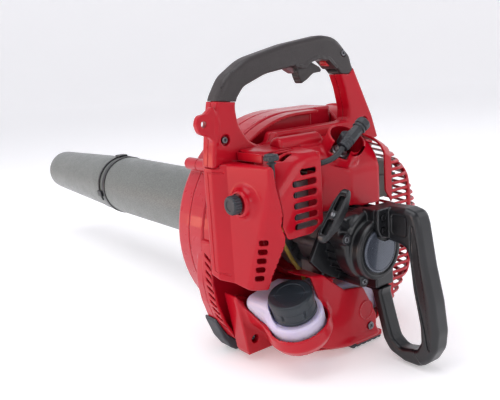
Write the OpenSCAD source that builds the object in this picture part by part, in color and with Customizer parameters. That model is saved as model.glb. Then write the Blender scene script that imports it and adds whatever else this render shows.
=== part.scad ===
// Handheld petrol leaf blower and garden vacuum, set up with its suction tube.
// X is the blowing direction, Y runs along the crankshaft, the fan and the suction tube, Z is up.
// All modules are drawn about the crankshaft axis; at_base() then moves them so that the origin is
// under the middle of the machine, on the surface it stands on.

/* [Engine] */
// Cylinder bore diameter
bore_d = 34; // [30:0.5:34]
// Piston stroke
stroke = 28; // [24:1:28]
// Flywheel diameter
flywheel_d = 92; // [84:1:92]

/* [Fan] */
// Impeller diameter
impeller_d = 158; // [150:1:160]
// Number of impeller blades
blades = 12; // [8:1:14]
// Smallest radius of the fan housing, next to the outlet
scroll_r0 = 112; // [111:1:114]
// Growth of the fan housing radius over one turn
scroll_grow = 30; // [24:1:30]
// Wall thickness of the fan housing
case_wall = 3; // [2.5:0.5:3.5]

/* [Suction tube] */
// Outer diameter of the suction tube
tube_d = 95.6; // [92:0.2:96]
// Length of the near tube section, from the fan housing to the joint ring
tube_near = 376; // [300:1:376]
// Length of the far tube section beyond the joint ring
tube_far = 272; // [200:1:272]
// Outer diameter at the open end of the tube
tube_end_d = 74; // [66:1:84]

/* [Handle] */
// Thickness of the main handle across its two halves
handle_t = 22; // [20:1:22]
// Thickness of the lower support handle
support_t = 24; // [22:1:26]

/* [Fuel] */
// Diameter of the fuel cap at its foot
cap_d = 48; // [46:1:50]
// Height of the fuel cap
cap_h = 24; // [22:1:26]

/* [Guard] */
// Height of the openings between the guard's slats
slot_h = 4.6; // [4.2:0.2:5]
// Distance from one slat to the next
slot_pitch = 8.2; // [8:0.1:8.4]

/* [Hidden] */

// where the crankshaft axis sits above and beside the origin
org = [10.33, -390.86, 130];
crank_r = stroke / 2;
bore_r = bore_d / 2;
rod_len = 50;
cyl_y = 72;
fan_near = 140;
fan_mid = 168;
fan_far = 196;
case_gap = 0.2;
hy0 = 100;
hy1 = hy0 + handle_t;
hym = (hy0 + hy1) / 2;
joint_y = fan_far + tube_near;
tube_r = tube_d / 2;
plug_tilt = 38;
out_x = 74;
out_z = 92;
out_r = 43;
red = [0.72, 0.08, 0.13];
dark = [0.13, 0.12, 0.13];
grey = [0.55, 0.56, 0.58];

// ---------- drawing helpers ----------
module at_base() translate(org) children();
// 2D (x, z) extruded from y0 to y1
module xz(y0, y1) translate([0, y1, 0]) rotate([90, 0, 0]) linear_extrude(y1 - y0) children();
// 2D (y, z) extruded from x0 to x1
module yz(x0, x1) translate([x0, 0, 0]) rotate([90, 0, 90]) linear_extrude(x1 - x0) children();
module xy(z0, z1) translate([0, 0, z0]) linear_extrude(z1 - z0) children();
module ycyl(r, y0, y1, x = 0, z = 0, fn = 64) translate([x, y0, z]) rotate([-90, 0, 0]) cylinder(r = r, h = y1 - y0, $fn = fn);
module xcyl(r, x0, x1, y = 0, z = 0, fn = 48) translate([x0, y, z]) rotate([0, 90, 0]) cylinder(r = r, h = x1 - x0, $fn = fn);
module zcyl(r, z0, z1, x = 0, y = 0, fn = 48) translate([x, y, z0]) cylinder(r = r, h = z1 - z0, $fn = fn);
module yring(ro, ri, y0, y1, x = 0, z = 0, fn = 96) difference() {
  ycyl(ro, y0, y1, x, z, fn);
  ycyl(ri, y0 - 1, y1 + 1, x, z, fn);
}
module block(a, b) translate(a) cube(b - a);
function unit(v) = v / norm(v);
// polygon with rounded corners; each point is [x, y, radius]
function rounded(p, k = 5) = [for (i = [0:len(p) - 1]) let (
    n = len(p), a = [p[(i + n - 1) % n].x, p[(i + n - 1) % n].y], b = [p[i].x, p[i].y], c = [p[(i + 1) % n].x, p[(i + 1) % n].y],
    u = unit(a - b), v = unit(c - b), ang = acos(max(-1, min(1, u * v))),
    t = min(p[i][2] / tan(ang / 2), 0.49 * min(norm(a - b), norm(c - b))), r = t * tan(ang / 2),
    m = b + unit(u + v) * r / sin(ang / 2), q = b + u * t, w = b + v * t,
    a1 = atan2(q.y - m.y, q.x - m.x), d0 = atan2(w.y - m.y, w.x - m.x) - a1, d = d0 > 180 ? d0 - 360 : d0 < -180 ? d0 + 360 : d0)
  each (p[i][2] <= 0 || ang > 178) ? [b] : [for (j = [0:k]) m + r * [cos(a1 + d * j / k), sin(a1 + d * j / k)]]];
module rpoly(p, k = 5) polygon(rounded(p, k));
// a flat strip of half width w along a line of points, with round joints
module strip(p, w) for (i = [0:len(p) - 2]) let (u = unit(p[i + 1] - p[i]), s = [-u.y, u.x] * w) {
  polygon([p[i] - s, p[i] + s, p[i + 1] + s, p[i + 1] - s]);
  if (i > 0) translate(p[i]) circle(r = w, $fn = 24);
}
// a flat ribbon of half width w along a smooth line, as one outline
function side(p, w) = [for (i = [0:len(p) - 1]) let (u = unit(p[min(i + 1, len(p) - 1)] - p[max(i - 1, 0)])) p[i] + [-u.y, u.x] * w];
module ribbon(p, w) polygon(concat(side(p, w), [for (i = [len(p) - 1:-1:0]) side(p, -w)[i]]));
// a tube of n sides swept along points
function sweep_pts(p, r, n) = [for (i = [0:len(p) - 1]) let (
    t = unit(p[min(i + 1, len(p) - 1)] - p[max(i - 1, 0)]),
    u = unit(cross(t, abs(t.z) < 0.9 ? [0, 0, 1] : [1, 0, 0])), v = cross(t, u))
  each [for (j = [0:n - 1]) p[i] + r * (u * cos(360 * j / n) + v * sin(360 * j / n))]];
module sweep(p, r, n = 8) polyhedron(
  points = sweep_pts(p, r, n),
  faces = concat([[for (j = [n - 1:-1:0]) j]], [[for (j = [0:n - 1]) (len(p) - 1) * n + j]],
    [for (i = [0:len(p) - 2]) for (j = [0:n - 1]) each [
        [i * n + j, i * n + (j + 1) % n, (i + 1) * n + j],
        [i * n + (j + 1) % n, (i + 1) * n + (j + 1) % n, (i + 1) * n + j]]]));
// points on a smooth curve through the given ones
function spline(p, k = 4) = [for (i = [0:len(p) - 2]) for (j = [0:i == len(p) - 2 ? k : k - 1]) let (
    a = p[max(i - 1, 0)], b = p[i], c = p[i + 1], d = p[min(i + 2, len(p) - 1)], t = j / k)
  0.5 * ((2 * b) + (c - a) * t + (2 * a - 5 * b + 4 * c - d) * t * t + (-a + 3 * b - 3 * c + d) * t * t * t)];

// ---------- fan housing ----------
function scroll_r(f) = scroll_r0 + scroll_grow * (40 - f) / 360;
function scroll_pts(o) = concat(
  [for (f = [90:5:395]) let (g = f > 40 ? f - 360 : f) [(scroll_r(g) + o) * cos(g), (scroll_r(g) + o) * sin(g)]]);
// the scroll with its outlet throat running along +X at the top
module scroll(o = 0) {
  difference() {
    polygon(scroll_pts(o));
    translate([out_x - 2 + min(o, 0), 46 + o]) square(200);
  }
  polygon([[0, 30], [0, scroll_r(-270) + o], [out_x - 2 + min(o, 0), scroll_r(-270) + o], [out_x - 2 + min(o, 0), 46 + o - 1], [30, 30]]);
}
module fan_case_inner() color(red) difference() {
  union() {
    xz(fan_near, fan_mid - case_gap) scroll();
    for (q = case_bosses) ycyl(7, fan_mid - 20, fan_mid - case_gap, q.x, q.y, 32);
  }
  for (q = case_bosses) ycyl(2.05, fan_mid - 16, fan_mid + 1, q.x, q.y, 24);
  xz(fan_near + case_wall, fan_mid + 1) scroll(-case_wall);
  ycyl(16, fan_near - 1, fan_near + 5);
  block([out_x - 6, fan_near + case_wall, 50], [out_x + 1, fan_mid + 1, scroll_r(-270) - case_wall]);
}
case_bosses = [[-108, 88], [-84, -98], [84, -92], [118, 10]];
module fan_case_outer() color(red) difference() {
  union() {
    xz(fan_mid + case_gap, fan_far) scroll();
    for (q = case_bosses) ycyl(7, fan_mid + case_gap, fan_far - 5, q.x, q.y, 32);
  }
  xz(fan_mid, fan_far - case_wall) scroll(-case_wall);
  for (q = case_bosses) ycyl(2.05, fan_mid - 1, fan_far, q.x, q.y, 24);
  ycyl(50, fan_far - 6, fan_far + 1, fn = 96);
  block([out_x - 6, fan_mid - 1, 50], [out_x + 1, fan_far - case_wall, scroll_r(-270) - case_wall]);
}
module outlet_collar() color(red) translate([0, fan_mid, out_z]) difference() {
  union() {
    xcyl(out_r + 2, out_x - 2, out_x + 3, fn = 96);
    xcyl(out_r, out_x + 2, out_x + 56, fn = 96);
    xcyl(out_r + 2, out_x + 30, out_x + 34, fn = 96);
    for (a = [45, 225]) rotate([a, 0, 0]) block([out_x + 30.6, -4, out_r - 1], [out_x + 33.4, 4, out_r + 5]);
  }
  xcyl(out_r - 3, out_x + 4, out_x + 57, fn = 96);
  block([out_x - 3, fan_near + case_wall - fan_mid + 1, -33], [out_x + 5, fan_far - case_wall - fan_mid - 1, 33]);
}
module inlet_collar() color(dark) difference() {
  union() {
    ycyl(60, fan_far, fan_far + 4, fn = 96);
    ycyl(54, fan_far + 4, fan_far + 26, fn = 96);
  }
  ycyl(46, fan_far - 1, fan_far + 27, fn = 96);
  ycyl(tube_r + 0.1, fan_far + 6, fan_far + 27, fn = 96);
}
// points on either side s of a curved fan blade
function blade_pt(k, s) = let (r = 40 + (impeller_d / 2 - 42) * k / 5, a = -28 * k / 5) [r * cos(a) + 0.45 * s, r * sin(a) + 1.15 * s];
module impeller() color([0.9, 0.9, 0.92]) {
  difference() {
    union() {
      ycyl(impeller_d / 2, 145, 147.5, fn = 96);
      ycyl(15, 145.4, 166, fn = 48);
      for (i = [0:blades - 1]) rotate([0, 360 / blades * i, 0]) xz(147, 186)
        polygon(concat([for (k = [0:5]) blade_pt(k, 1)], [for (k = [5:-1:0]) blade_pt(k, -1)]));
    }
    ycyl(5, 144, 167, fn = 32);
  }
}
module impeller_nut() color(grey) difference() {
  union() { ycyl(7.5, 167.7, 174, fn = 6); ycyl(10, 166, 167.7, fn = 32); }
  ycyl(4.98, 165, 175, fn = 32);
}

// ---------- suction tube ----------
module suction_tube_near() color([0.42, 0.46, 0.46]) yring(tube_r, tube_r - 2, fan_far + 6, joint_y - 2);
module suction_tube_far() color([0.42, 0.46, 0.46]) translate([0, joint_y, 0]) rotate([-90, 0, 0]) rotate_extrude($fn = 96)
  polygon([[tube_r - 4.4, -30], [tube_r - 2.2, -30], [tube_r - 2.2, 3], [tube_r - 0.6, 3.2], [tube_r - 0.6, 36], [tube_r - 1.6, 37],
      [tube_end_d / 2, tube_far], [tube_end_d / 2 - 2.2, tube_far], [tube_r - 3.8, 36], [tube_r - 4.4, 3]]);
module tube_joint_ring() color(dark) {
  yring(tube_r + 1.2, tube_r + 0.05, joint_y - 7, joint_y - 2);
  yring(tube_r + 1.2, tube_r - 2.1, joint_y - 2, joint_y + 2.9);
}
module tube_lock_band() color(dark) difference() {
  union() {
    yring(tube_r + 1.4, tube_r - 0.5, joint_y + 12, joint_y + 17);
    block([-8, joint_y + 6, tube_r - 0.2], [8, joint_y + 22, tube_r + 3.5]);
    rotate([0, -100, 0]) block([-5, joint_y + 3, tube_r - 0.2], [5, joint_y + 17, tube_r + 4]);
  }
  block([-80, joint_y + 8, -80], [80, joint_y + 20, -22]);
  ycyl(tube_r - 0.5, joint_y, joint_y + 30, fn = 96);
}

// ---------- base plate between engine and fan ----------
base_corner = [[-60, 0, 0], [-128, 12, 4], [-130, -40, 20], [-126, -64, 20], [-120, -88, 12], [-110, -106, 10], [-96, -118, 6], [-84, -121, 4], [-40, -121, 0], [-40, -60, 0]];
base_corner_in = [[-60, -4, 0], [-124.5, 6, 3], [-126.5, -40, 18], [-122.5, -63, 18], [-116.5, -86, 10], [-107.5, -103, 8], [-95, -114.5, 4], [-84, -117, 3], [-40, -117, 0], [-40, -60, 0]];
module base_plate() color(red) difference() {
  union() {
    difference() {
      xz(hy1 + 0.3, fan_near - 0.2) { scroll(-1); rpoly(base_corner); }
      xz(hy1 - 1, fan_near - 4.2) { scroll(-4.5); rpoly(base_corner_in); }
    }
    for (q = [[-90, 88], [-92, -70], [60, -92], [100, 28], [-30, -105]]) ycyl(7, hy1 + 0.3, fan_near - 1, q.x, q.y, 32);
    difference() { ycyl(60, hy1 + 0.3, fan_near - 1); ycyl(54, hy1 - 1, fan_near); }
  }
  ycyl(16, hy1, fan_near + 1);
  for (i = [0:9]) let (z = -9 - 8.9 * i) block([-140, 125, z - 1.9], [-104 + 0.9 * i, 136, z + 1.9]);
  block([30, hy1 - 1, 47], [out_x, fan_near + 1, 150]);
}

// ---------- main handle ----------
module handle_outline(o = 0) difference() {
  rpoly([[-136, 94, 2], [-131, 133, 20], [-125, 164, 30], [-112, 184.5, 30], [-85, 201.5, 60], [-30, 214, 120], [24, 221.5, 40],
      [46, 218.5, 40], [68, 197, 12], [71, 187, 20], [103, 124, 20], [113, 96, 2], [62, 88, 4], [20, 94, 6], [-60, 94, 6]], 8);
  handle_window(o);
}
module handle_window(o = 0) rpoly([[-49, 121, 5], [-55, 110, 3], [-64, 108.5, 6], [-86, 114, 30], [-100, 136, 30], [-103, 158, 20], [-90, 173, 18], [-60, 184, 60], [-16, 190, 20],
    [-4, 188, 2], [0, 192, 8], [16, 196.5, 14], [33, 194, 10], [44, 184, 4], [50, 178, 4], [57, 160, 20], [63, 136, 16], [62, 121, 6]], 6);
// the stretch of the handle that the black grip cover wraps
module grip_zone() polygon([[-160, 165], [-100, 158.5], [-80, 140], [20, 140], [40, 178], [64, 176], [90, 196], [90, 240], [-160, 240]]);
// the red core under the grip cover
module offset_outline() strip([[-114, 158], [-110.5, 170], [-98, 182.5], [-77, 191.6], [-30, 201.6], [20, 208.6], [42, 206.6], [58, 195.6], [64, 184]], 8.2);
module trigger_pocket2d() polygon([[-34.2, 178], [-34.2, 200.5], [-22, 203.5], [6, 204.5], [36, 204], [47, 195], [53, 187], [46, 170], [0, 160]]);
cable_route = spline([[-36.5, hym, 194.6], [-60, hym, 190.5], [-90, hym, 182], [-107, hym, 166], [-111, hym, 145], [-109, hym, 121], [-108, hym, 104], [-108, hym, 92], [-104, 107, 86], [-92, 103, 84.5], [-74, 97, 85], [-58, 86, 84]], 3);
cable_line = [for (p = cable_route) if (p.z > 90) [p.x, p.z]];
module handle_half(y0, y1, skin) {
  difference() {
    union() {
      difference() {
        xz(y0, y1) handle_outline();
        xz(y0 - 1, y1 + 1) grip_zone();
      }
      xz(max(y0, hy0 + 2.6), min(y1, hy1 - 2.6)) intersection() { offset_outline(); grip_zone(); }
      if (skin > 0) lug(y0);
    }
    // pocket for the trigger and the two levers, shared by both halves
    xz(hy0 + 4.4, hy1 - 4.4) trigger_pocket2d();
    xz(hym - 1.6, hym + 1.6) ribbon(cable_line, 1.7);
    // clamp screw holes
    for (q = [[-118, 121], [88, 118], [56, 200]]) ycyl(2.05, y0 - 1, y1 + 1, q.x, q.y, 24);
    if (skin > 0) for (q = [[-118, 121], [88, 118]]) ycyl(5, y0 - 1, y0 + 4, q.x, q.y, 32);
    // seat for the spark plug cowl
    translate([0, 66, 84]) rotate([plug_tilt, 0, 0]) zcyl(24, 12, 60);
    // seat for the outlet throat
    block([30, fan_mid, 40], [150, fan_mid + 40, 140]);
  }
}
module lug(y0) difference() {
  xz(y0, y0 + 7.5) rpoly([[-128, 116, 2], [-137, 126, 6], [-149, 131, 6], [-152, 140, 6], [-149, 149, 7], [-140, 150, 6], [-130, 158, 3], [-124, 140, 1]]);
  ycyl(3.2, y0 - 1, y0 + 9, -143, 140, 32);
}
// pivots of the trigger and of the cruise lever: [x, z, radius]
pivots = [[-22, 196.5, 2], [-31, 193.2, 1.2]];
module handle_half_near() color(red) difference() {
  handle_half(hy0, hym - 0.1, 1);
  for (q = pivots) ycyl(q[2] + 0.05, hy0 + 3, hym, q.x, q.y, 24);
}
module handle_half_far() color(red) union() {
  handle_half(hym + 0.1, hy1, 0);
  for (q = pivots) ycyl(q[2], hy0 + 3.6, hy1 - 4, q.x, q.y, 24);
}
module grip_cover() color([0.2, 0.18, 0.18]) difference() {
  xz(hy0 - 0.4, hy1 + 0.4) intersection() { handle_outline(); grip_zone(); }
  xz(hy0 + 2.5, hy1 - 2.5) offset(delta = 0.1) intersection() { offset_outline(); translate([0, 0]) square([400, 600], center = true); }
  xz(hy0 + 3.4, hy1 - 3.4) trigger_pocket2d();
  xz(hym - 1.6, hym + 1.6) ribbon(cable_line, 1.7);
  ycyl(5, hy0 - 2, hy0 + 3, 56, 200, 32);
}
// pivots: trigger at (-22, 197), cruise lever at (-34..), stop switch at the front of the finger notch
module throttle_trigger() color([0.17, 0.15, 0.15]) {
  difference() {
    xz(hy0 + 4.9, hy1 - 4.9) rpoly([[-28, 200, 4], [-4, 199, 6], [10, 193, 12], [24, 186, 6], [26, 181, 3], [13, 180, 10], [3, 173.5, 8], [-6, 169.5, 2],
        [-10, 178, 6], [-13, 190, 6], [-27, 192.5, 3]], 4);
    ycyl(2.06, hy0, hy1, -22, 196.5, 32);
  }
}
module cruise_lever() color([0.45, 0.28, 0.28]) difference() {
  union() {
    xz(hy0 + 6, hym + 3) rpoly([[-31.5, 191.5, 1], [-28, 189.4, 1], [-26, 186, 2], [-17, 181, 2], [-15.5, 184.5, 2], [-17, 188.6, 1], [-28.6, 191, 0.5], [-30, 193, 0.5]], 3);
    ycyl(2.6, hy0 + 6, hym + 3, -31, 193.2, 32);
  }
  ycyl(1.25, hy0, hy1, -31, 193.2, 24);
}
module stop_switch() color([0.75, 0.05, 0.06]) xz(hy0 + 6.4, hy1 - 6.4) rpoly([[33, 196, 2], [38, 199, 1], [43.5, 192, 1], [40.5, 186, 1], [31, 188, 3]], 3);
module throttle_cable() color(dark) sweep(cable_route, 1.2, 8);

// ---------- crankcase, crank and piston ----------
module crankcase_half(front) difference() {
  union() {
    ycyl(34.6, front ? 50 : cyl_y + 0.1, front ? cyl_y - 0.1 : 94);
    block([-30, front ? 50 : cyl_y + 0.1, 5], [30, front ? cyl_y - 0.1 : 94, 29.9]);
    block([-34, front ? 56 : cyl_y + 0.1, -36], [34, front ? cyl_y - 0.1 : 88, -24]);
    for (x = [-36, 36]) ycyl(5, front ? 50 : cyl_y + 0.1, front ? cyl_y - 0.1 : 94, x, 0, 32);
  }
  ycyl(30.3, 60.5, 83.5, fn = 96);
  ycyl(14, front ? 52.5 : 83.4, front ? 60.6 : 91.5);
  ycyl(11, front ? 49 : 91.4, front ? 52.6 : 95);
  zcyl(20.15, 5, 36, 0, cyl_y, 64);
  block([-40, 40, 29.9], [40, 100, 40]);
  for (x = [-36, 36]) ycyl(2.1, 49, 95, x, 0, 24);
}
module crankcase_front() color([0.62, 0.63, 0.65]) crankcase_half(true);
module crankcase_rear() color([0.6, 0.61, 0.63]) crankcase_half(false);
module crank_front() color(grey) { ycyl(23, 61, 68); ycyl(6, 34, 61.5); ycyl(4, 24.5, 34.5, fn = 32); }
module crank_rear() color(grey) {
  ycyl(23, 76, 83); ycyl(6, 82.5, 144.7); ycyl(4.97, 144.5, 176, fn = 32);
}
module ball_bearings() color([0.75, 0.76, 0.78]) for (y = [52.5, 83.5]) yring(14, 6.05, y, y + 8, fn = 64);
module shaft_seals() color([0.1, 0.1, 0.1]) for (y = [50, 91.5]) yring(11, 6.1, y, y + 2.5, fn = 48);
module conrod() color(grey) difference() {
  union() {
    ycyl(8.5, 68.5, 75.5, 0, crank_r, 48);
    ycyl(6.5, 69, 75, 0, crank_r + rod_len, 48);
    xz(70, 74) polygon([[-4.5, crank_r + 6], [4.5, crank_r + 6], [3.2, crank_r + rod_len - 5], [-3.2, crank_r + rod_len - 5]]);
  }
  ycyl(4.95, 68, 76, 0, crank_r, 32);
  ycyl(4.05, 68, 76, 0, crank_r + rod_len, 32);
}
module crank_pin() color([0.7, 0.7, 0.72]) ycyl(4.95, 68.4, 75.6, 0, crank_r, 32);
module piston() color([0.75, 0.76, 0.78]) translate([0, cyl_y, crank_r + rod_len]) difference() {
  zcyl(bore_r - 0.07, -14, 14, fn = 96);
  difference() {
    zcyl(bore_r - 2.6, -15, 10.5, fn = 64);
    for (s = [-1, 1]) block([-7, s > 0 ? 4.6 : -16, -7], [7, s > 0 ? 16 : -4.6, 11]);
  }
  translate([0, -20, 0]) rotate([-90, 0, 0]) cylinder(r = 4, h = 40, $fn = 48);
  for (z = [8, 11]) difference() { zcyl(bore_r + 1, z, z + 1.2); zcyl(bore_r - 1, z - 1, z + 3); }
}
module wrist_pin() color([0.7, 0.7, 0.72]) difference() {
  ycyl(4, cyl_y - 14, cyl_y + 14, 0, crank_r + rod_len, 48);
  ycyl(2.4, cyl_y - 15, cyl_y + 15, 0, crank_r + rod_len, 24);
}
module plug_frame() translate([0, 66, 84]) rotate([plug_tilt, 0, 0]) children();
fin = [[-30, 63], [-6, 50], [30, 50], [30, 97], [-30, 97]];
module offset_fin() polygon([[-26, 70], [-8, 58], [27, 58], [27, 95], [-26, 95]]);
module engine_cylinder() color([0.66, 0.67, 0.69]) difference() {
  union() {
    zcyl(20, 25, 84.6, 0, cyl_y, 64);
    block([-28, 50, 30], [28, 94, 33.5]);
    for (z = [39:6:75]) xy(z, z + 2) polygon(fin);
    xy(81, 90) offset_fin();
    plug_frame() zcyl(12, 2, 9.8);
    block([-34.8, 62, 44], [-15, 82, 66]);
    block([15, 60, 40], [40, 84, 66]);
  }
  zcyl(bore_r, 24, crank_r + rod_len + 15, 0, cyl_y, 96);
  plug_frame() zcyl(7, -14, 11);
  xcyl(6, -36, 0, cyl_y, 55, 32);
  xcyl(7, 0, 41, cyl_y, 53, 32);
}
module spark_plug() plug_frame() {
  color([0.75, 0.75, 0.74]) {
    zcyl(6.98, -1.4, 10, fn = 48);
    zcyl(9.5, 10, 17, fn = 6);
    zcyl(7, 16.8, 20, fn = 48);
  }
  color("white") zcyl(5, 19.8, 34, fn = 48);
  color(grey) zcyl(2.8, 33.8, 38, fn = 32);
}
boot_a = [-12, 39, 104];
boot_b = [22, 38, 127];
module plug_boot() color(dark) difference() {
  union() {
    plug_frame() zcyl(8.4, 26, 40, fn = 48);
    translate(boot_a) rotate([0, 90 - atan2(boot_b.z - boot_a.z, boot_b.x - boot_a.x), 0]) {
      cylinder(r = 6.5, h = norm(boot_b - boot_a) - 8, $fn = 8);
      translate([0, 0, norm(boot_b - boot_a) - 8]) cylinder(r = 8.2, h = 8, $fn = 8);
    }
  }
  plug_frame() { zcyl(5.02, 25, 34, fn = 48); zcyl(2.82, 33, 38.02, fn = 32); }
}
lead_route = spline([[-12.5, 39, 103.7], [-17, 39, 99.5], [-24, 39, 95.4], [-32, 42, 92], [-40, 47.4, 89.8], [-46.5, 54.5, 88], [-49.5, 63, 86.5], [-48.5, 72, 84.5], [-44.5, 82, 81], [-40, 92, 77], [-36, 100, 73], [-29, 104, 69], [-22, 106, 66.4]], 3);
module plug_lead() color(dark) sweep(lead_route, 3, 8);
module ignition_coil() color([0.2, 0.2, 0.22]) {
  block([-18.5, 101, 55], [18, 117, 78]);
  block([-14, 103, 50], [-6, 115, 55.5]);
  block([6, 103, 50], [14, 115, 55.5]);
}
module flywheel() color([0.7, 0.71, 0.73]) difference() {
  union() {
    ycyl(flywheel_d / 2, 113, 118, fn = 96);
    yring(flywheel_d / 2, flywheel_d / 2 - 7, 103, 114);
    ycyl(13, 99, 118.5);
    for (i = [0:11]) rotate([0, 30 * i, 0]) block([14, 105, -1], [flywheel_d / 2 - 5, 114, 1]);
  }
  ycyl(6.01, 98, 120, fn = 48);
}

// ---------- fuel and air ----------
module carburettor() color([0.6, 0.6, 0.62]) difference() {
  union() {
    block([-62, 60, 40], [-43, 84, 72]);
    color(dark) block([-43, 64, 44], [-35, 80, 66]);
    zcyl(9, 36, 41, -52, cyl_y, 32);
  }
  xcyl(6, -63, -34, cyl_y, 55, 32);
  zcyl(5.05, 47, 73, -52, cyl_y, 48);
}
module throttle_valve() color([0.72, 0.6, 0.3]) difference() {
  union() { zcyl(4.97, 47.4, 74, -52, cyl_y, 48); block([-55, cyl_y - 4, 73.5], [-49, cyl_y + 13, 76]); }
  xcyl(4.4, -60, -44, cyl_y, 55, 24);
}
module choke_plate() color(grey) union() {
  zcyl(1.5, 44, 76, -67.5, cyl_y, 24);
  difference() { xcyl(7.6, -68.1, -66.9, cyl_y, 55, 32); zcyl(1.4, 46, 64, -67.5, cyl_y, 24); }
}
module choke_knob() color([0.2, 0.2, 0.21]) {
  zcyl(3, 84, 103, -103, 47, 32);
  zcyl(4.8, 99, 100.4, -103, 47, 32);
  zcyl(7.8, 102.6, 107, -103, 47, 48);
  zcyl(6.8, 106.9, 108.6, -103, 47, 48);
}
module air_filter() color([0.35, 0.36, 0.38]) difference() {
  union() {
    block([-96, 50, 34], [-74, 94, 80]);
    difference() { block([-74, 48, 32], [-71, 96, 82]); xcyl(9, -75, -70, cyl_y, 55, 32); }
    difference() { xcyl(11, -71, -62.1, cyl_y, 55, 48); xcyl(9, -72, -60, cyl_y, 55, 48); zcyl(1.6, 40, 80, -67.5, cyl_y, 24); }
  }
  block([-92, 54, 38], [-73, 90, 76]);
}
// plan outlines of the air cleaner cover: outer skin, then its hollow
cover_out = [[-136, 121, 0], [-135, 106, 3], [-124.5, 93, 3], [-113, 38, 3], [-98, 38, 0], [-98, 44, 0], [-105, 121, 0]];
cover_in = [[-133, 122, 0], [-132, 107.4, 2], [-121.5, 94.4, 2], [-110.6, 41.5, 2], [-92, 41.5, 0], [-92, 122, 0]];
// slanted front face of the cover, o inside its surface
module cover_face(o = 0) translate([-115, 55, 23]) rotate([0, 0, 234.4]) rotate([0, 101.9, 0]) translate([-100, -100, -o]) cube([200, 200, 90]);
module air_cleaner_cover() color(red) difference() {
  union() {
    difference() {
      intersection() {
        xy(-36, 98) rpoly(cover_out);
        yz(-140, -90) polygon([[30, 98], [121, 98], [121, -24], [86, -33], [70, -36], [30, -36]]);
        xz(30, 122) polygon([[-140, -40], [-114, -40], [-98, 34], [-98, 99], [-140, 99]]);
      }
      cover_face();
    }
    xcyl(14, -129, -115, 72, 60, 48);
  }
  difference() {
    intersection() {
      xy(-33, 95) rpoly(cover_in);
      yz(-140, -80) polygon([[30, 95], [122, 95], [122, -21], [87, -30], [71, -33], [30, -33]]);
    }
    cover_face(3);
  }
  xcyl(4.05, -133, -110, 72, 60, 32);
  zcyl(5.2, 94, 99, -103, 47, 32);
  for (i = [0:4]) translate([-111, 53 + 2.6 * i, 19 - 10 * i]) rotate([0, 0, -43]) block([-6, -6, -3], [5, 8, 3]);
  block([-140, 118.8, -40], [-90, 130, 99]);
  // the foot of the main handle stands here
  block([-140, 99.6, 93.6], [-90, 130, 99]);
}
module cover_knob() color([0.13, 0.14, 0.16]) {
  xcyl(4, -130.3, -98, 72, 60, 32);
  translate([-139.5, 72, 60]) rotate([0, 90, 0]) linear_extrude(10) polygon([for (i = [0:47]) let (r = i % 2 == 0 ? 10 : 9) [r * cos(7.5 * i), r * sin(7.5 * i)]]);
}
module muffler() color([0.5, 0.5, 0.51]) difference() {
  union() {
    block([44, 56, 34], [86, 96, 75.6]);
    block([40.2, 60, 40], [44.5, 84, 66]);
    block([42, 54, 57], [88, 98, 60]);
    xcyl(6, 85, 94, 84, 50, 32);
  }
  block([46, 58, 36], [84, 94, 73.6]);
  xcyl(7, 40, 47, cyl_y, 53, 32);
  xcyl(4, 80, 95, 84, 50, 32);
}

// ---------- engine covers ----------
slot_z = [86, 75, 64, 52.5, 41, 31];
module engine_cover() color(red) difference() {
  union() {
    // front wall with its slanted left edge, and a return at the right edge
    xz(40, 42.5) rpoly([[-97, 34, 2], [-97.5, 70, 8], [-70, 104, 14], [-43, 108, 1], [-43, 30, 1], [-60, 20, 4], [-92, 20, 4]]);
    yz(-45.5, -43) polygon([[40, 30], [59.4, 36], [59.4, 108], [40, 108]]);
    // top wall
    difference() {
      yz(-106, -43) polygon([[41, 105], [99.5, 108], [99.5, 110.6], [40, 107.8]]);
      zcyl(9, 100, 115, -103, 47);
      block([-112, 38, 100], [-98, 52, 112]);
    }
    // return that closes the gap above the cleaner cover
    xz(58, 99.5) polygon([[-106, 98.4], [-106, 107], [-103.6, 107], [-103.6, 98.4]]);
  }
  for (i = [0:5]) xz(39, 43.5) translate([0, slot_z[i]]) strip([[i == 0 ? -68 : -79, -1.2], [-53, 1.2]], 3.1);
  for (i = [0:5]) xz(39, 43.5) translate([0, slot_z[i]]) for (x = [i == 0 ? -68 : -79, -53]) translate([x, x < -60 ? -1.2 : 1.2]) circle(r = 3.1, $fn = 24);
  for (y = [56:9:92]) block([-90, y, 100], [-56, y + 4, 115]);
  plug_frame() zcyl(22, 8, 60);
  // notch for the plug lead
  block([-47, 45.5, 82.5], [-42, 61, 94]);
}
module cylinder_cover() color(red) difference() {
  union() {
    difference() {
      intersection() {
        xy(34, 112) rpoly([[-42.5, 62, 0], [2, 40, 8], [46, 40, 6], [52, 50, 4], [52, 99.5, 0], [-42.5, 99.5, 0]]);
        yz(-60, 60) rpoly([[38, 34, 0], [38, 74, 10], [62, 104, 14], [110, 112, 0], [110, 34, 0]]);
      }
      intersection() {
        xy(30, 109.5) rpoly([[-40, 63.7, 0], [2.5, 42.5, 6], [45, 42.5, 4], [49.5, 51, 3], [49.5, 101, 0], [-40, 101, 0]]);
        yz(-70, 70) rpoly([[30, 30, 0], [40.5, 73, 8], [63.5, 101.5, 12], [111, 109.4, 0], [111, 30, 0]]);
      }
    }
    intersection() { plug_frame() zcyl(21.5, 12, 36, fn = 64); block([-60, 20, 70], [60, 99.5, 140]); }
  }
  plug_frame() zcyl(19, 9, 40, fn = 64);
  block([-26, 62, 70], [26, 96, 92]);
  translate([-46, 50, 80]) cube([14, 16, 16]);
  // open towards the carburettor and the muffler
  block([-44, 60, 30], [-39.5, 100, 96]);
  block([49, 53, 30], [53, 100, 84]);
  // room for the starter, and a notch in the cowl for the plug lead
  ycyl(38.6, 30, 50.4, fn = 96);
  ycyl(6.6, 30, 50.4, boss_r * cos(45), boss_r * sin(45), 32);
  plug_frame() block([-26, -22, 22], [-8, -2, 40]);
}
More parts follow.
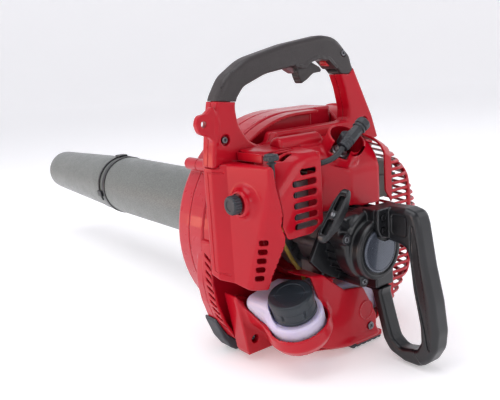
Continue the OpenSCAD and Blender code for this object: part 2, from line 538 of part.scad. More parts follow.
// bowl shaped guard over the muffler side
guard_prof = [[44, 40], [104, 40], [112, 43], [116.5, 50], [122, 70], [128, 95], [131, 122], [128.4, 122], [125.4, 95], [119.4, 70], [114, 51.5], [110.5, 45.5], [103, 42.5], [44, 42.5]];
module engine_guard() color(red) difference() {
  intersection() {
    rotate([-90, 0, 0]) rotate_extrude($fn = 128) polygon(guard_prof);
    xz(30, 130) polygon([[46, 112], [58, 90], [61, 70], [61, 45], [70, 30], [70, -30], [50, -56], [38.4, -64], [38.4, -128], [150, -128], [150, 112]]);
  }
  for (i = [-11:11]) let (z = i * slot_pitch + 4) {
    block([72, 30, z], [93, 60, z + slot_h]);
    block([98, 30, z], [140, 116, z + slot_h]);
    if (z > -56 && z < 26) block([72, 30, z], [93, 60, z + slot_h]);
    if (z < -60 || z > 76) block([64, 58, z], [140, 116, z + slot_h]);
  }
  block([40, 99.3, 86], [150, 130, 150]);
}

// ---------- recoil starter ----------
boss_r = 40.5;
module starter_housing() color(dark) difference() {
  union() {
    ycyl(32, 2.2, 14, 0, -4, 96);
    ycyl(38, 12, 49.9, fn = 96);
    // foot and nozzle that the rope leaves by
    xz(18, 34) rpoly([[-44, 34, 5], [-14, 36, 3], [-14, 8, 3], [-40, 2, 5]]);
    rope_frame() zcyl(5, -32, -8.2, fn = 32);
    for (a = [45, 160, 250, 320]) rotate([0, -a, 0]) ycyl(6, 11.5, 49.8, boss_r, 0, 32);
    // skirt that closes the front of the crankcase
    xz(44, 49.9) rpoly([[-60, -12, 4], [-40, 21, 8], [-12, 34, 8], [-10, -44, 8], [-28, -37.2, 3], [-46, -26.2, 4]]);
    // pads that carry the support handle
    block([-7, 2.2, 14], [34, 20, 40]);
    block([6, 12.6, -52], [34, 43.4, -30]);
  }
  ycyl(34, 16, 50.5, fn = 96);
  ycyl(26, 9, 17, fn = 64);
  ycyl(4.02, 1, 10, fn = 32);
  for (a = [45, 160, 250, 320]) rotate([0, -a, 0]) { ycyl(2.1, 10, 51, boss_r, 0, 24); ycyl(4, 11, 14, boss_r, 0, 32); }
  for (q = root_screws) ycyl(2.1, 1, 14, q.x, q.y, 24);
  rope_frame() zcyl(2.4, -40, 0, fn = 32);
}
module starter_badge() color([0.42, 0.44, 0.5]) {
  difference() {
    ycyl(24, 0.4, 2.2, 0, -4.5, 96);
    // the root of the support handle lies here
    xz(-1, 3) rpoly([[-8.4, 42, 3], [35, 42, 3], [35, 12, 2], [24.4, 4.4, 4], [6, 4.6, 2], [-3.4, 9.8, 4], [-8.6, 19.6, 4]]);
  }
  starter_post_pin();
}
module starter_post_pin() ycyl(4, 2, 23.5, fn = 32);
module starter_pulley() color([0.85, 0.84, 0.8]) difference() {
  union() {
    ycyl(31, 17.5, 19.5, fn = 96); ycyl(31, 25.5, 27.5, fn = 96); ycyl(24, 19, 26, fn = 96);
    ycyl(9, 11, 28.5, fn = 48);
  }
  ycyl(4.06, 10, 24, fn = 32);
  ycyl(4.5, 23.9, 30, fn = 32);
  difference() { ycyl(21, 24, 28, fn = 64); ycyl(9, 23, 29, fn = 48); }
}
module recoil_spring() color(grey) for (r = [11.5:3:24]) yring(r + 0.8, r, 10, 15.5, fn = 64);
module starter_cup() color([0.6, 0.6, 0.62]) difference() {
  union() { ycyl(22, 30, 32, fn = 64); yring(22, 20, 30, 40, fn = 64); ycyl(10, 30, 33.8, fn = 48); }
  ycyl(4.02, 29, 41, fn = 32);
}
rope_dir = unit([-0.76, -0.22, 0.61]);
grip_c = [-52, 14, 41];
// z is the pulling direction
module rope_frame() translate(grip_c) rotate([0, 0, atan2(rope_dir.y, rope_dir.x)]) rotate([0, 90 - asin(rope_dir.z), 0]) children();
module recoil_rope() color([0.12, 0.12, 0.13]) rope_frame() zcyl(1.6, -36, 1, fn = 24);
module recoil_grip() color(dark) rope_frame() rotate([0, 0, -12]) difference() {
  // the bar lies across the pulling direction, widest and deepest at its middle
  intersection() {
    rotate([90, 0, 0]) translate([0, 0, -20]) linear_extrude(40)
      rpoly([[-31, 0, 2], [-27, -3, 4], [-11, -7, 4], [11, -7, 4], [27, -3, 4], [31, 0, 2], [31, 3, 2], [26, 6, 4], [-26, 6, 4], [-31, 3, 2]]);
    translate([0, 0, -20]) linear_extrude(40)
      rpoly([[-31, -4, 3], [-12, -7.5, 8], [12, -7.5, 8], [31, -4, 3], [31, 4, 3], [12, 7.5, 8], [-12, 7.5, 8], [-31, 4, 3]]);
  }
  // dished face with a pocket on either side of the web that holds the knot
  block([-24, -4, 3], [24, 4, 9]);
  for (s = [-1, 1]) translate([s * 13.5, 0, 0]) block([-8, -3.4, -2], [8, 3.4, 5]);
  zcyl(2.6, -20, 5, fn = 24);
}

// ---------- fuel tank ----------
cap_c = [-85, 45, -57];
cap_ax = [-0.348, -0.123, 0.93];
module cap_frame() translate(cap_c) rotate([0, 0, atan2(cap_ax.y, cap_ax.x)]) rotate([0, acos(cap_ax.z), 0]) children();
tank_out = [[-115, -50, 10], [-103, -78, 18], [-70, -108, 24], [-20, -115, 14], [56, -92, 20], [78, -74, 14], [80, -62, 6], [40, -51.6, 6], [-36, -50.8, 4], [-52, -44, 3], [-66, -40, 4]];
module fuel_tank() color([0.8, 0.78, 0.88, 0.8]) difference() {
  union() {
    difference() {
      union() {
        xz(47, 98) rpoly(tank_out, 6);
        cap_frame() zcyl(29.6, -30, -3, fn = 64);
      }
      cap_frame() zcyl(cap_d / 2 + 1.2, -2.9, 60, fn = 64);
    }
    cap_frame() zcyl(18, -4, 9, fn = 64);
  }
  difference() {
    xz(50, 95) rpoly([[-112, -52, 8], [-100, -77, 16], [-69, -105, 22], [-20, -112, 12], [55, -88.8, 18], [74.8, -72.6, 12], [76.8, -64.6, 5], [39.5, -54.6, 5], [-35.5, -53.8, 3], [-51, -47, 3], [-64, -43, 3]], 6);
    cap_frame() zcyl(cap_d / 2 + 4.2, -5.9, 60, fn = 64);
  }
  cap_frame() zcyl(26.6, -27, -6.4, fn = 64);
  cap_frame() zcyl(15.5, -7, 10, fn = 64);
}
module fuel_cap() color([0.2, 0.22, 0.25]) cap_frame() difference() {
  union() {
    zcyl(cap_d / 2, -2.5, 2, fn = 96);
    translate([0, 0, 1.9]) linear_extrude(cap_h - 14.9) polygon([for (i = [0:71]) let (r = (i % 12 < 10 ? cap_d / 2 - 0.6 : cap_d / 2 - 2)) [r * cos(5 * i), r * sin(5 * i)]]);
    zcyl(cap_d / 2, cap_h - 13.1, cap_h - 4, fn = 96);
    zcyl(cap_d / 2 - 1.5, cap_h - 4.1, cap_h - 2.5, fn = 96);
  }
  zcyl(18.07, -3, 12, fn = 64);
}
fuel_route = spline([[-30, 90, -49.4], [-32, 91, -42], [-45, 94, -20], [-58, 92, 5], [-59, 87, 18], [-54.5, 77, 27], [-52.4, 73, 33.4]], 3);
module fuel_line() color([0.75, 0.66, 0.3]) sweep(fuel_route, 2.4, 8);
wedge = [[-121, -43, 2], [-113, -56, 3], [-78, -97, 6], [-58, -121, 2], [-107, -120, 3]];
wedge_in = [[-117.6, -50, 1], [-111, -61, 2], [-80, -98, 4], [-63, -118.5, 1], [-104.5, -117.5, 2]];
// the bowl round the filler, o inside its outer surface
module bowl(o = 0) cap_frame() rotate_extrude($fn = 96) polygon([[0, -14 + o * 4], [32.2, -14 + o * 4], [34.8 - o, -16], [35.6 - o, -28], [30.4 - o, -38 + o], [17, -46 + o], [0, -46 + o]]);
module tank_guard() color(red) difference() {
  union() {
    // open-backed wedge that screws to the base plate
    difference() { xz(100, hy1) rpoly(wedge); xz(102.4, hy1 + 1) rpoly(wedge_in); }
    ycyl(7, 101, hy1, -97, -104, 32);
    // skin below the lip, round the lower left of the tank
    intersection() {
      xz(60, 101) difference() { offset(delta = 3.2) rpoly(tank_out, 6); offset(delta = 0.8) rpoly(tank_out, 6); }
      yz(-130, -50) polygon([[102, -57], [66, -80], [56, -84], [56, -121], [102, -121]]);
    }
    difference() { bowl(); bowl(2.4); }
    // floor
    xy(-121, -118.6) polygon([[-106.5, 100.5], [-64, 100.5], [-60, 68], [-54, 57], [-32, 47], [-10, 41], [38, 41], [38, hy1 - 0.2], [-106.5, hy1 - 0.2]]);
    // front wall and the flange behind its top edge
    xz(40, 43.2) rpoly([[-68, -25, 3], [-46, -29, 6], [-29, -41.5, 6], [-15, -48.5, 4], [14, -58, 6], [24, -76, 8], [35, -97, 4], [35, -120, 2], [-10, -119.5, 8], [-36, -117, 8], [-66, -106, 10], [-80, -84, 4], [-74, -50, 2]]);
    xz(42, 72) strip([[-68, -26.2], [-47, -30], [-31, -39.4]], 1.1);
    xz(50.3, 72) strip([[-32, -39], [-10, -42.6], [42, -43.4]], 1.1);
    // block that carries the front foot
    block([2, 40, -125.2], [44, 70, -118.8]);
  }
  ycyl(4.8, 99, 109, -97, -104, 32);
  ycyl(2.1, 108, hy1 + 1, -97, -104, 24);
  ycyl(2.6, 39, 45, 24, -108, 24);
  cap_frame() zcyl(30, -40, 60, fn = 96);
  // the tank passes here
  xz(46.6, 98.4) offset(delta = 0.4) rpoly(tank_out, 6);
}
module rubber_feet() color([0.1, 0.1, 0.1]) {
  block([-2, 43, -130], [46, 71, -125.2]);
  // corner bumper at the lower left
  difference() {
    xz(127, 142) rpoly([[-130, -62, 1], [-131, -77, 3], [-128, -88, 8], [-119, -110, 8], [-105, -124, 4], [-99, -130, 2], [-88, -130, 1], [-84, -121.5, 1]]);
    xz(120, 139.9) offset(delta = 0.2) { scroll(); rpoly(base_corner); }
    xz(139, 160) scroll(0.2);
  }
  // rear feet under the fan housing
  difference() {
    for (q = [-1, 1]) xz(152, 194) polygon([[q * 34, -112], [q * 34, -130], [q * 78, -130], [q * 84, -96]]);
    xz(140, 200) scroll(0.2);
    for (q = case_bosses) ycyl(7.3, 140, 200, q.x, q.y, 32);
  }
}

// ---------- support handle ----------
root_screws = [[0, 18], [0, 32]];
module support_outline() difference() {
  rpoly([[1.8, 6, 2], [1.8, 41, 3], [-24, 42, 6], [-37, 39, 8], [-41, 27, 10], [-49, -16, 60], [-58, -52, 60], [-62.5, -84, 30], [-60.5, -103, 20], [-52, -117.5, 14], [-40, -127, 14], [-20, -127.5, 14], [0, -121.5, 14],
      [9, -110, 14], [18, -80, 20], [25, -57, 3], [40, -57, 2], [40, -52.3, 0], [1.8, -52.3, 0]], 6);
  rpoly([[-15, 4, 6], [-25, 1, 8], [-28.5, -10, 20], [-33, -42, 60], [-41.5, -80, 40], [-42.5, -98, 8], [-37, -109, 8], [-14, -114, 12], [-3, -106, 12], [3, -88, 30], [12, -58, 10], [10, -53, 1], [1.8, -52.3, 0], [1.8, 5.8, 0]], 5);
}
module support_handle() color(dark) difference() {
  union() {
    yz(20 - support_t / 2 + 2, 20 + support_t / 2 - 2) support_outline();
    // the hand grip and the top arm are wider than the lower bar
    xz(-4, 1.8) rpoly([[-8, 41.4, 3], [31.5, 41.4, 3], [31.5, 14, 2], [24, 5.4, 5], [10, 7.8, 5], [-3, 10.6, 4], [-8.2, 20, 4]]);
    yz(20 - support_t / 2, 20 + support_t / 2) intersection() { support_outline(); polygon([[-100, 80], [40, 80], [40, 0], [-20, 0], [-22, -40], [-33, -112], [-60, -140], [-100, -140]]); }
  }
  for (q = root_screws) { ycyl(2.3, -5, 3, q.x, q.y, 24); ycyl(4.2, -5, -2.6, q.x, q.y, 24); }
  for (s = [-1, 1]) translate([20 + s * support_t / 2, 0, 0]) yz(-3, 3) ribbon(spline([[-33, 24], [-37, -14], [-43, -48], [-50, -82], [-53, -102]], 3), 3.6);
}

// ---------- screws ----------
module screw(y, l, x, z, d = 4) { ycyl(d * 0.85, y, y + d * 0.7, x, z, 24); ycyl(d / 2 - 0.05, y + d * 0.6, y + l, x, z, 24); }
module case_screws() color([0.3, 0.3, 0.31]) {
  for (q = [[-118, 121], [88, 118]]) screw(hy0 + 1.2, 18, q.x, q.y);
  screw(hy0 - 0.3, 18, 56, 200);
  screw(105.2, 16.4, -97, -104);
  ycyl(4.6, 38.2, 40, 24, -108, 24);
  ycyl(2.5, 39.9, 46, 24, -108, 24);
}
module starter_screws() color([0.45, 0.45, 0.46]) {
  for (a = [45, 160, 250, 320]) rotate([0, -a, 0]) { ycyl(3.6, 11.2, 13.9, boss_r, 0, 24); ycyl(2.05, 13.8, 49.5, boss_r, 0, 24); }
  for (q = root_screws) { ycyl(3.8, -5.4, -2.6, q.x, q.y, 24); ycyl(2.05, -2.7, 8.8, q.x, q.y, 24); }
}

at_base() fan_case_inner();
at_base() fan_case_outer();
at_base() outlet_collar();
at_base() inlet_collar();
at_base() impeller();
at_base() impeller_nut();
at_base() suction_tube_near();
at_base() suction_tube_far();
at_base() tube_joint_ring();
at_base() tube_lock_band();
at_base() base_plate();
at_base() handle_half_near();
at_base() handle_half_far();
at_base() grip_cover();
at_base() throttle_trigger();
at_base() cruise_lever();
at_base() stop_switch();
at_base() throttle_cable();
at_base() crankcase_front();
at_base() crankcase_rear();
at_base() crank_front();
at_base() crank_rear();
at_base() ball_bearings();
at_base() shaft_seals();
at_base() conrod();
at_base() crank_pin();
at_base() piston();
at_base() wrist_pin();
at_base() engine_cylinder();
at_base() spark_plug();
at_base() plug_boot();
at_base() plug_lead();
at_base() ignition_coil();
at_base() flywheel();
at_base() carburettor();
at_base() throttle_valve();
at_base() choke_plate();
at_base() choke_knob();
at_base() air_filter();
at_base() air_cleaner_cover();
at_base() cover_knob();
at_base() muffler();
at_base() engine_cover();
at_base() cylinder_cover();
at_base() engine_guard();
at_base() starter_housing();
at_base() starter_badge();
at_base() starter_pulley();
at_base() recoil_spring();
at_base() starter_cup();
at_base() recoil_rope();
at_base() recoil_grip();
at_base() fuel_tank();
at_base() fuel_cap();
at_base() fuel_line();
at_base() tank_guard();
at_base() rubber_feet();
at_base() support_handle();
at_base() case_screws();
at_base() starter_screws();
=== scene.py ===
import math
import bpy
import numpy as np
from mathutils import Matrix, Vector


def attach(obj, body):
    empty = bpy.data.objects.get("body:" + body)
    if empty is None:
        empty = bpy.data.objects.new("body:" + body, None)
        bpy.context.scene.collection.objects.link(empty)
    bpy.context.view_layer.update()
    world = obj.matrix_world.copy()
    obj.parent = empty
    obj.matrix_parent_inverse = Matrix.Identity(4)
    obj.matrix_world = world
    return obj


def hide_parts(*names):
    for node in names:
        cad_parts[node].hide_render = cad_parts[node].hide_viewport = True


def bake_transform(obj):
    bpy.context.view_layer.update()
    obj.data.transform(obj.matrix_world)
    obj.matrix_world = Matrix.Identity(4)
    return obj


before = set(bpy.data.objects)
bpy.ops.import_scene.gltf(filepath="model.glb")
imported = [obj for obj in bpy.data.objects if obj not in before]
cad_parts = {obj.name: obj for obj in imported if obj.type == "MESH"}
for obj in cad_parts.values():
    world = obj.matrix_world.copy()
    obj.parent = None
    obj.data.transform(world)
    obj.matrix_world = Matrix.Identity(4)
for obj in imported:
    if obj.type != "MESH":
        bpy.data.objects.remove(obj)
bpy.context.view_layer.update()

# Lengths below are millimetres about the crankshaft axis, as in part.scad; org moves them into the row frame.
org = np.array([10.33, -390.86, 130.0])
coarse = 1.0


def P(x, y, z):
    return tuple((np.array([x, y, z], float) + org) / 1000)


# ---------------------------------------------------------------- 2D outlines
def unit(v):
    v = np.asarray(v, float)
    return v / np.linalg.norm(v)


def rounded(p, k=5):
    """Polygon with rounded corners; each point is (u, v, radius)."""
    out = []
    n = len(p)
    for i in range(n):
        b, a, c = np.array(p[i][:2], float), np.array(p[i - 1][:2], float), np.array(p[(i + 1) % n][:2], float)
        r = p[i][2] if len(p[i]) > 2 else 0
        u, v = unit(a - b), unit(c - b)
        ang = math.acos(max(-1, min(1, float(u @ v))))
        if r <= 0 or ang > math.radians(178):
            out.append(b)
            continue
        t = min(r / math.tan(ang / 2), 0.49 * min(np.linalg.norm(a - b), np.linalg.norm(c - b)))
        r = t * math.tan(ang / 2)
        m = b + unit(u + v) * r / math.sin(ang / 2)
        q, w = b + u * t, b + v * t
        a1 = math.atan2(q[1] - m[1], q[0] - m[0])
        d = math.atan2(w[1] - m[1], w[0] - m[0]) - a1
        d = d - 2 * math.pi if d > math.pi else d + 2 * math.pi if d < -math.pi else d
        out += [m + r * np.array([math.cos(a1 + d * j / k), math.sin(a1 + d * j / k)]) for j in range(k + 1)]
    return np.array(out)


def spline(p, k=4):
    p = [np.array(q, float) for q in p]
    out = []
    for i in range(len(p) - 1):
        a, b, c, d = p[max(i - 1, 0)], p[i], p[i + 1], p[min(i + 2, len(p) - 1)]
        for j in range(k + 1 if i == len(p) - 2 else k):
            t = j / k
            out.append(0.5 * ((2 * b) + (c - a) * t + (2 * a - 5 * b + 4 * c - d) * t * t + (-a + 3 * b - 3 * c + d) * t ** 3))
    return np.array(out)


# ---------------------------------------------------------------- distance fields (negative inside)
def poly(pts, U, V):
    pts = np.asarray(pts, np.float32)[:, :2]
    U, V = np.asarray(U, np.float32), np.asarray(V, np.float32)
    shape = np.broadcast(U, V).shape
    d = np.full(shape, 1e12, np.float32)
    inside = np.zeros(shape, bool)
    a = pts[-1]
    for b in pts:
        ex, ey = float(a[0] - b[0]), float(a[1] - b[1])
        wx, wy = U - b[0], V - b[1]
        ll = ex * ex + ey * ey
        if ll > 1e-9:
            t = np.clip((wx * ex + wy * ey) / ll, 0, 1)
            d = np.minimum(d, (wx - ex * t) ** 2 + (wy - ey * t) ** 2)
            c1, c2, c3 = V >= b[1], V < a[1], ex * wy > ey * wx
            inside ^= (c1 & c2 & c3) | (~c1 & ~c2 & ~c3)
        a = b
    return np.where(inside, -1, 1) * np.sqrt(d)


def path2(pts, U, V):
    """Distance to a line of points."""
    pts = np.asarray(pts, np.float32)
    d = np.full(np.broadcast(U, V).shape, 1e12, np.float32)
    for a, b in zip(pts[:-1], pts[1:]):
        ex, ey = float(b[0] - a[0]), float(b[1] - a[1])
        t = np.clip(((U - a[0]) * ex + (V - a[1]) * ey) / (ex * ex + ey * ey + 1e-9), 0, 1)
        d = np.minimum(d, (U - a[0] - ex * t) ** 2 + (V - a[1] - ey * t) ** 2)
    return np.sqrt(d)


def path3(pts, X, Y, Z):
    pts = np.asarray(pts, np.float32)
    d = np.full(np.broadcast(X, Y, Z).shape, 1e12, np.float32)
    for a, b in zip(pts[:-1], pts[1:]):
        e = b - a
        t = np.clip(((X - a[0]) * e[0] + (Y - a[1]) * e[1] + (Z - a[2]) * e[2]) / float(e @ e + 1e-9), 0, 1)
        d = np.minimum(d, (X - a[0] - e[0] * t) ** 2 + (Y - a[1] - e[1] * t) ** 2 + (Z - a[2] - e[2] * t) ** 2)
    return np.sqrt(d)


def both(a, b, r=0.0):
    """Where a and b overlap, with their shared edge rounded to r."""
    if r <= 0:
        return np.maximum(a, b)
    u, v = np.maximum(a + r, 0), np.maximum(b + r, 0)
    return np.minimum(np.maximum(a, b) + r, 0) + np.sqrt(u * u + v * v) - r


def join(a, b, r=0.0):
    return -both(-a, -b, r)


def cut(a, b, r=0.0):
    return both(a, -b, r)


def slab(W, a, b):
    return np.abs(W - (a + b) / 2) - (b - a) / 2


def rect(U, V, u0, u1, v0, v1, r=0.0):
    a, b = slab(U, u0 + r, u1 - r), slab(V, v0 + r, v1 - r)
    return np.minimum(np.maximum(a, b), 0) + np.hypot(np.maximum(a, 0), np.maximum(b, 0)) - r


def prism(d2, W, a, b, r=1.0, r2=None):
    """A flat outline d2 from W = a to W = b, with its edges rounded to r at a and r2 at b."""
    return both(both(d2, a - W, r), W - b, r if r2 is None else r2)


def rod(U, V, W, u, v, rad, a, b, r=0.5, r2=None):
    return prism(np.hypot(U - u, V - v) - rad, W, a, b, r, r2)


def brick(X, Y, Z, a, b, r=1.0):
    q = [slab(w, a[i] + r, b[i] - r) for i, w in enumerate((X, Y, Z))]
    out = np.sqrt(np.maximum(q[0], 0) ** 2 + np.maximum(q[1], 0) ** 2 + np.maximum(q[2], 0) ** 2)
    return out + np.minimum(np.maximum(np.maximum(q[0], q[1]), q[2]), 0) - r


def plane(X, Y, Z, p, n):
    n = unit(n)
    return (X - p[0]) * n[0] + (Y - p[1]) * n[1] + (Z - p[2]) * n[2]


class Local:
    """Coordinates of a tilted part: place c, columns of R its own axes."""

    def __init__(self, c, R):
        self.c, self.R = np.array(c, float), np.array(R, float)

    def __call__(self, X, Y, Z):
        dx, dy, dz = X - self.c[0], Y - self.c[1], Z - self.c[2]
        return tuple(dx * self.R[0, i] + dy * self.R[1, i] + dz * self.R[2, i] for i in range(3))

    def out(self, p):
        return self.c + np.asarray(p, float) @ self.R.T


def turn(axis, deg):
    return np.array(Matrix.Rotation(math.radians(deg), 3, axis))


def aim(c, d):
    d = unit(d)
    return Local(c, turn("Z", math.degrees(math.atan2(d[1], d[0]))) @ turn("Y", math.degrees(math.acos(d[2]))))


plug_frame = Local([0, 66, 84], turn("X", 38))
cap_frame = aim([-85, 45, -57], [-0.348, -0.123, 0.93])
rope_frame = aim([-52, 14, 41], [-0.76, -0.22, 0.61])


# ---------------------------------------------------------------- meshes
def new_object(name, verts, faces, mats, normals=None, smooth=True, face_mats=None):
    """verts in mm about the crankshaft axis; faces a list of index tuples, or an array of quads."""
    me = bpy.data.meshes.new(name)
    co = (np.asarray(verts, float) + org) / 1000
    if isinstance(faces, np.ndarray):
        n, k = faces.shape
        me.vertices.add(len(co))
        me.vertices.foreach_set("co", co.astype(np.float32).ravel())
        me.loops.add(n * k)
        me.loops.foreach_set("vertex_index", faces.astype(np.int32).ravel())
        me.polygons.add(n)
        me.polygons.foreach_set("loop_start", np.arange(0, n * k, k, dtype=np.int32))
        me.update(calc_edges=True)
    else:
        me.from_pydata([tuple(c) for c in co], [], [tuple(f) for f in faces])
        me.update()
    me.validate()
    ob = bpy.data.objects.new(name, me)
    bpy.context.scene.collection.objects.link(ob)
    for m in mats if isinstance(mats, (list, tuple)) else [mats]:
        me.materials.append(m)
    me.polygons.foreach_set("use_smooth", np.full(len(me.polygons), smooth, bool))
    if face_mats is not None:
        me.polygons.foreach_set("material_index", np.asarray(face_mats, np.int32))
    if normals is not None and len(normals) == len(me.vertices):
        me.normals_split_custom_set_from_vertices([tuple(v) for v in normals])
    return ob


corner = [(a, b, c) for a in (0, 1) for b in (0, 1) for c in (0, 1)]
cell_edges = [(i, j) for i in range(8) for j in range(i + 1, 8) if sum(abs(corner[i][k] - corner[j][k]) for k in range(3)) == 1]


def slope(f, p, e):
    """Value and unit gradient of the field at points p."""
    k = np.array([[1, -1, -1], [-1, -1, 1], [-1, 1, -1], [1, 1, 1]], np.float32)
    g = np.zeros_like(p)
    v = 0
    for d in k:
        q = p + d * e
        w = np.asarray(f(q[:, 0], q[:, 1], q[:, 2]), np.float32)
        g += d * w[:, None]
        v = v + w
    n = np.linalg.norm(g, axis=1, keepdims=True)
    return v / 4, g / np.maximum(n, 1e-9), n[:, 0] / (4 * e)


def surface(f, lo, hi, h):
    """Surface nets over the field f inside lo..hi, then pulled onto the surface. Returns vertices, quads and normals."""
    h = h * coarse
    lo, hi = np.array(lo, float) - 2.37 * h, np.array(hi, float) + 2.1 * h
    n = np.ceil((hi - lo) / h).astype(int) + 1
    ax = [(lo[i] + h * np.arange(n[i])).astype(np.float32) for i in range(3)]
    F = np.ascontiguousarray(np.broadcast_to(f(ax[0][:, None, None], ax[1][None, :, None], ax[2][None, None, :]), n), dtype=np.float32)
    F = np.where(np.abs(F) < 1e-5, np.float32(1e-5), F)
    S = F < 0
    s = np.zeros([m - 1 for m in n], np.int8)
    for a, b, c in corner:
        s += S[a:n[0] - 1 + a, b:n[1] - 1 + b, c:n[2] - 1 + c]
    cells = (s > 0) & (s < 8)
    I, J, K = np.nonzero(cells)
    ids = np.full(cells.shape, -1, np.int32)
    ids[I, J, K] = np.arange(len(I))
    val = [F[I + a, J + b, K + c] for a, b, c in corner]
    acc, cnt = np.zeros((len(I), 3), np.float32), np.zeros(len(I), np.float32)
    for i, j in cell_edges:
        va, vb = val[i], val[j]
        m = (va < 0) != (vb < 0)
        t = np.where(m, va / np.where(m, va - vb, 1), 0)
        pa, pb = np.array(corner[i], np.float32), np.array(corner[j], np.float32)
        acc += np.where(m[:, None], pa + t[:, None] * (pb - pa), 0)
        cnt += m
    p = (np.stack([I, J, K], 1) + acc / cnt[:, None]).astype(np.float32) * np.float32(h) + lo.astype(np.float32)
    quads = []
    for axis in range(3):
        sl0, sl1 = [slice(1, -1)] * 3, [slice(1, -1)] * 3
        sl0[axis], sl1[axis] = slice(0, -1), slice(1, None)
        A, B = S[tuple(sl0)], S[tuple(sl1)]
        E = np.stack(np.nonzero(A != B), 1)
        if not len(E):
            continue
        flip = ~A[E[:, 0], E[:, 1], E[:, 2]]
        E = E + 1
        E[:, axis] -= 1
        u, w = (axis + 1) % 3, (axis + 2) % 3
        du, dw = np.zeros(3, int), np.zeros(3, int)
        du[u], dw[w] = 1, 1
        q = [ids[tuple((E - a * du - b * dw).T)] for a, b in ((1, 1), (0, 1), (0, 0), (1, 0))]
        q = np.stack(q, 1)
        q[flip] = q[flip][:, ::-1]
        quads.append(q)
    quads = np.concatenate(quads)
    quads = quads[(quads >= 0).all(1)]
    start = p.copy()
    for _ in range(3):
        v, g, m = slope(f, p, 0.12)
        step = np.clip(v / np.clip(m, 0.3, 3), -0.6 * h, 0.6 * h)
        p = p - g * step[:, None]
    away = p - start
    far = np.linalg.norm(away, axis=1, keepdims=True)
    p = start + away * np.minimum(1, 0.9 * h / np.maximum(far, 1e-9))
    g = slope(f, p, 0.3)[1]
    return p, quads, g


def solid(name, f, lo, hi, h, mat, body="machine", nodes=()):
    p, q, g = surface(f, lo, hi, h)
    ob = new_object(name, p, q, mat, g)
    return place(ob, body, nodes)


def place(ob, body, nodes=()):
    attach(ob, body)
    if nodes:
        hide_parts(*nodes)
    return ob


def lathe(name, prof, mat, to_world, n=96, body="machine", nodes=(), closed=True, span=None, wave=None):
    """A closed (radius, height) outline turned about an axis; to_world maps local points to mm."""
    prof = np.asarray(prof, float)[:, :2]
    k = len(prof)
    full = span is None
    a = np.radians(np.linspace(0, 360, n, endpoint=False) if full else np.linspace(span[0], span[1], n))
    r = prof[None, :, 0] * np.ones((n, 1))
    if wave is not None:
        r = r + wave(a[:, None], prof[None, :, 0], prof[None, :, 1])
    v = np.stack([r * np.cos(a)[:, None], r * np.sin(a)[:, None], np.broadcast_to(prof[None, :, 1], r.shape)], 2).reshape(-1, 3)
    faces = []
    for i in range(n if full else n - 1):
        for j in range(k if closed else k - 1):
            i2, j2 = (i + 1) % n, (j + 1) % k
            faces.append((i * k + j, i2 * k + j, i2 * k + j2, i * k + j2))
    faces = np.array(faces, np.int32)
    area = 0.5 * sum(prof[i - 1, 0] * prof[i, 1] - prof[i, 0] * prof[i - 1, 1] for i in range(k))
    if area < 0:
        faces = faces[:, ::-1]
    axis_pts = [j for j in range(k) if abs(prof[j, 0]) < 1e-6]
    w = to_world(v)
    if axis_pts:
        keep = np.arange(len(w))
        for j in axis_pts:
            keep[np.arange(n) * k + j] = j
        lists = []
        for fc in faces:
            g = []
            for x in keep[fc]:
                if int(x) not in g:
                    g.append(int(x))
            if len(g) >= 3:
                lists.append(g)
        used = sorted({x for g in lists for x in g})
        new = {x: i for i, x in enumerate(used)}
        w = w[used]
        faces = [[new[x] for x in g] for g in lists]
    ob = new_object(name, w, faces, mat)
    crease(ob, 38)
    return place(ob, body, nodes)


def crease(ob, deg):
    """Sharp edges where faces meet at more than deg, smooth elsewhere."""
    import bmesh
    bm = bmesh.new()
    bm.from_mesh(ob.data)
    lim = math.radians(deg)
    for e in bm.edges:
        e.smooth = not (len(e.link_faces) == 2 and e.calc_face_angle(0) > lim)
    bm.to_mesh(ob.data)
    bm.free()


def about_y(x=0, z=0):
    """Local z becomes +Y."""
    return lambda v: np.stack([v[:, 1] + x, v[:, 2], v[:, 0] + z], 1)


def about_x(y=0, z=0):
    return lambda v: np.stack([v[:, 2], v[:, 0] + y, v[:, 1] + z], 1)


def about_z(x=0, y=0):
    return lambda v: np.stack([v[:, 0] + x, v[:, 1] + y, v[:, 2]], 1)


def ring(ro, ri, a, b, r=0.6):
    """Closed profile of a ring with rounded edges."""
    return rounded([(ri, a, r), (ro, a, r), (ro, b, r), (ri, b, r)], 3)


def sweep(name, pts, radius, mat, n=16, body=None, nodes=(), ribs=None, cap=True, fine=3):
    """A round cord along points, with flat end caps; radius may be a function of the distance along it."""
    pts = spline(pts, fine) if fine > 1 else np.array(pts, float)
    seg = np.linalg.norm(np.diff(pts, axis=0), axis=1)
    s = np.concatenate([[0], np.cumsum(seg)])
    total = s[-1]
    tan = np.array([unit(pts[min(i + 1, len(pts) - 1)] - pts[max(i - 1, 0)]) for i in range(len(pts))])
    up = np.array([0, 0, 1.0]) if abs(tan[0][2]) < 0.9 else np.array([1.0, 0, 0])
    u = unit(np.cross(tan[0], up))
    ringsv, a = [], np.radians(np.linspace(0, 360, n, endpoint=False))
    for i, p in enumerate(pts):
        u = unit(u - tan[i] * (u @ tan[i]))
        v = np.cross(tan[i], u)
        r = radius(s[i], total) if callable(radius) else radius
        ringsv.append(p + r * (np.cos(a)[:, None] * u + np.sin(a)[:, None] * v))
    verts = np.concatenate(ringsv)
    m = len(pts)
    faces = [(i * n + j, i * n + (j + 1) % n, (i + 1) * n + (j + 1) % n, (i + 1) * n + j) for i in range(m - 1) for j in range(n)]
    if cap:
        faces += [tuple(range(n - 1, -1, -1)), tuple((m - 1) * n + j for j in range(n))]
    ob = new_object(name, verts, faces, mat)
    crease(ob, 50)
    if body:
        place(ob, body, nodes)
    return ob


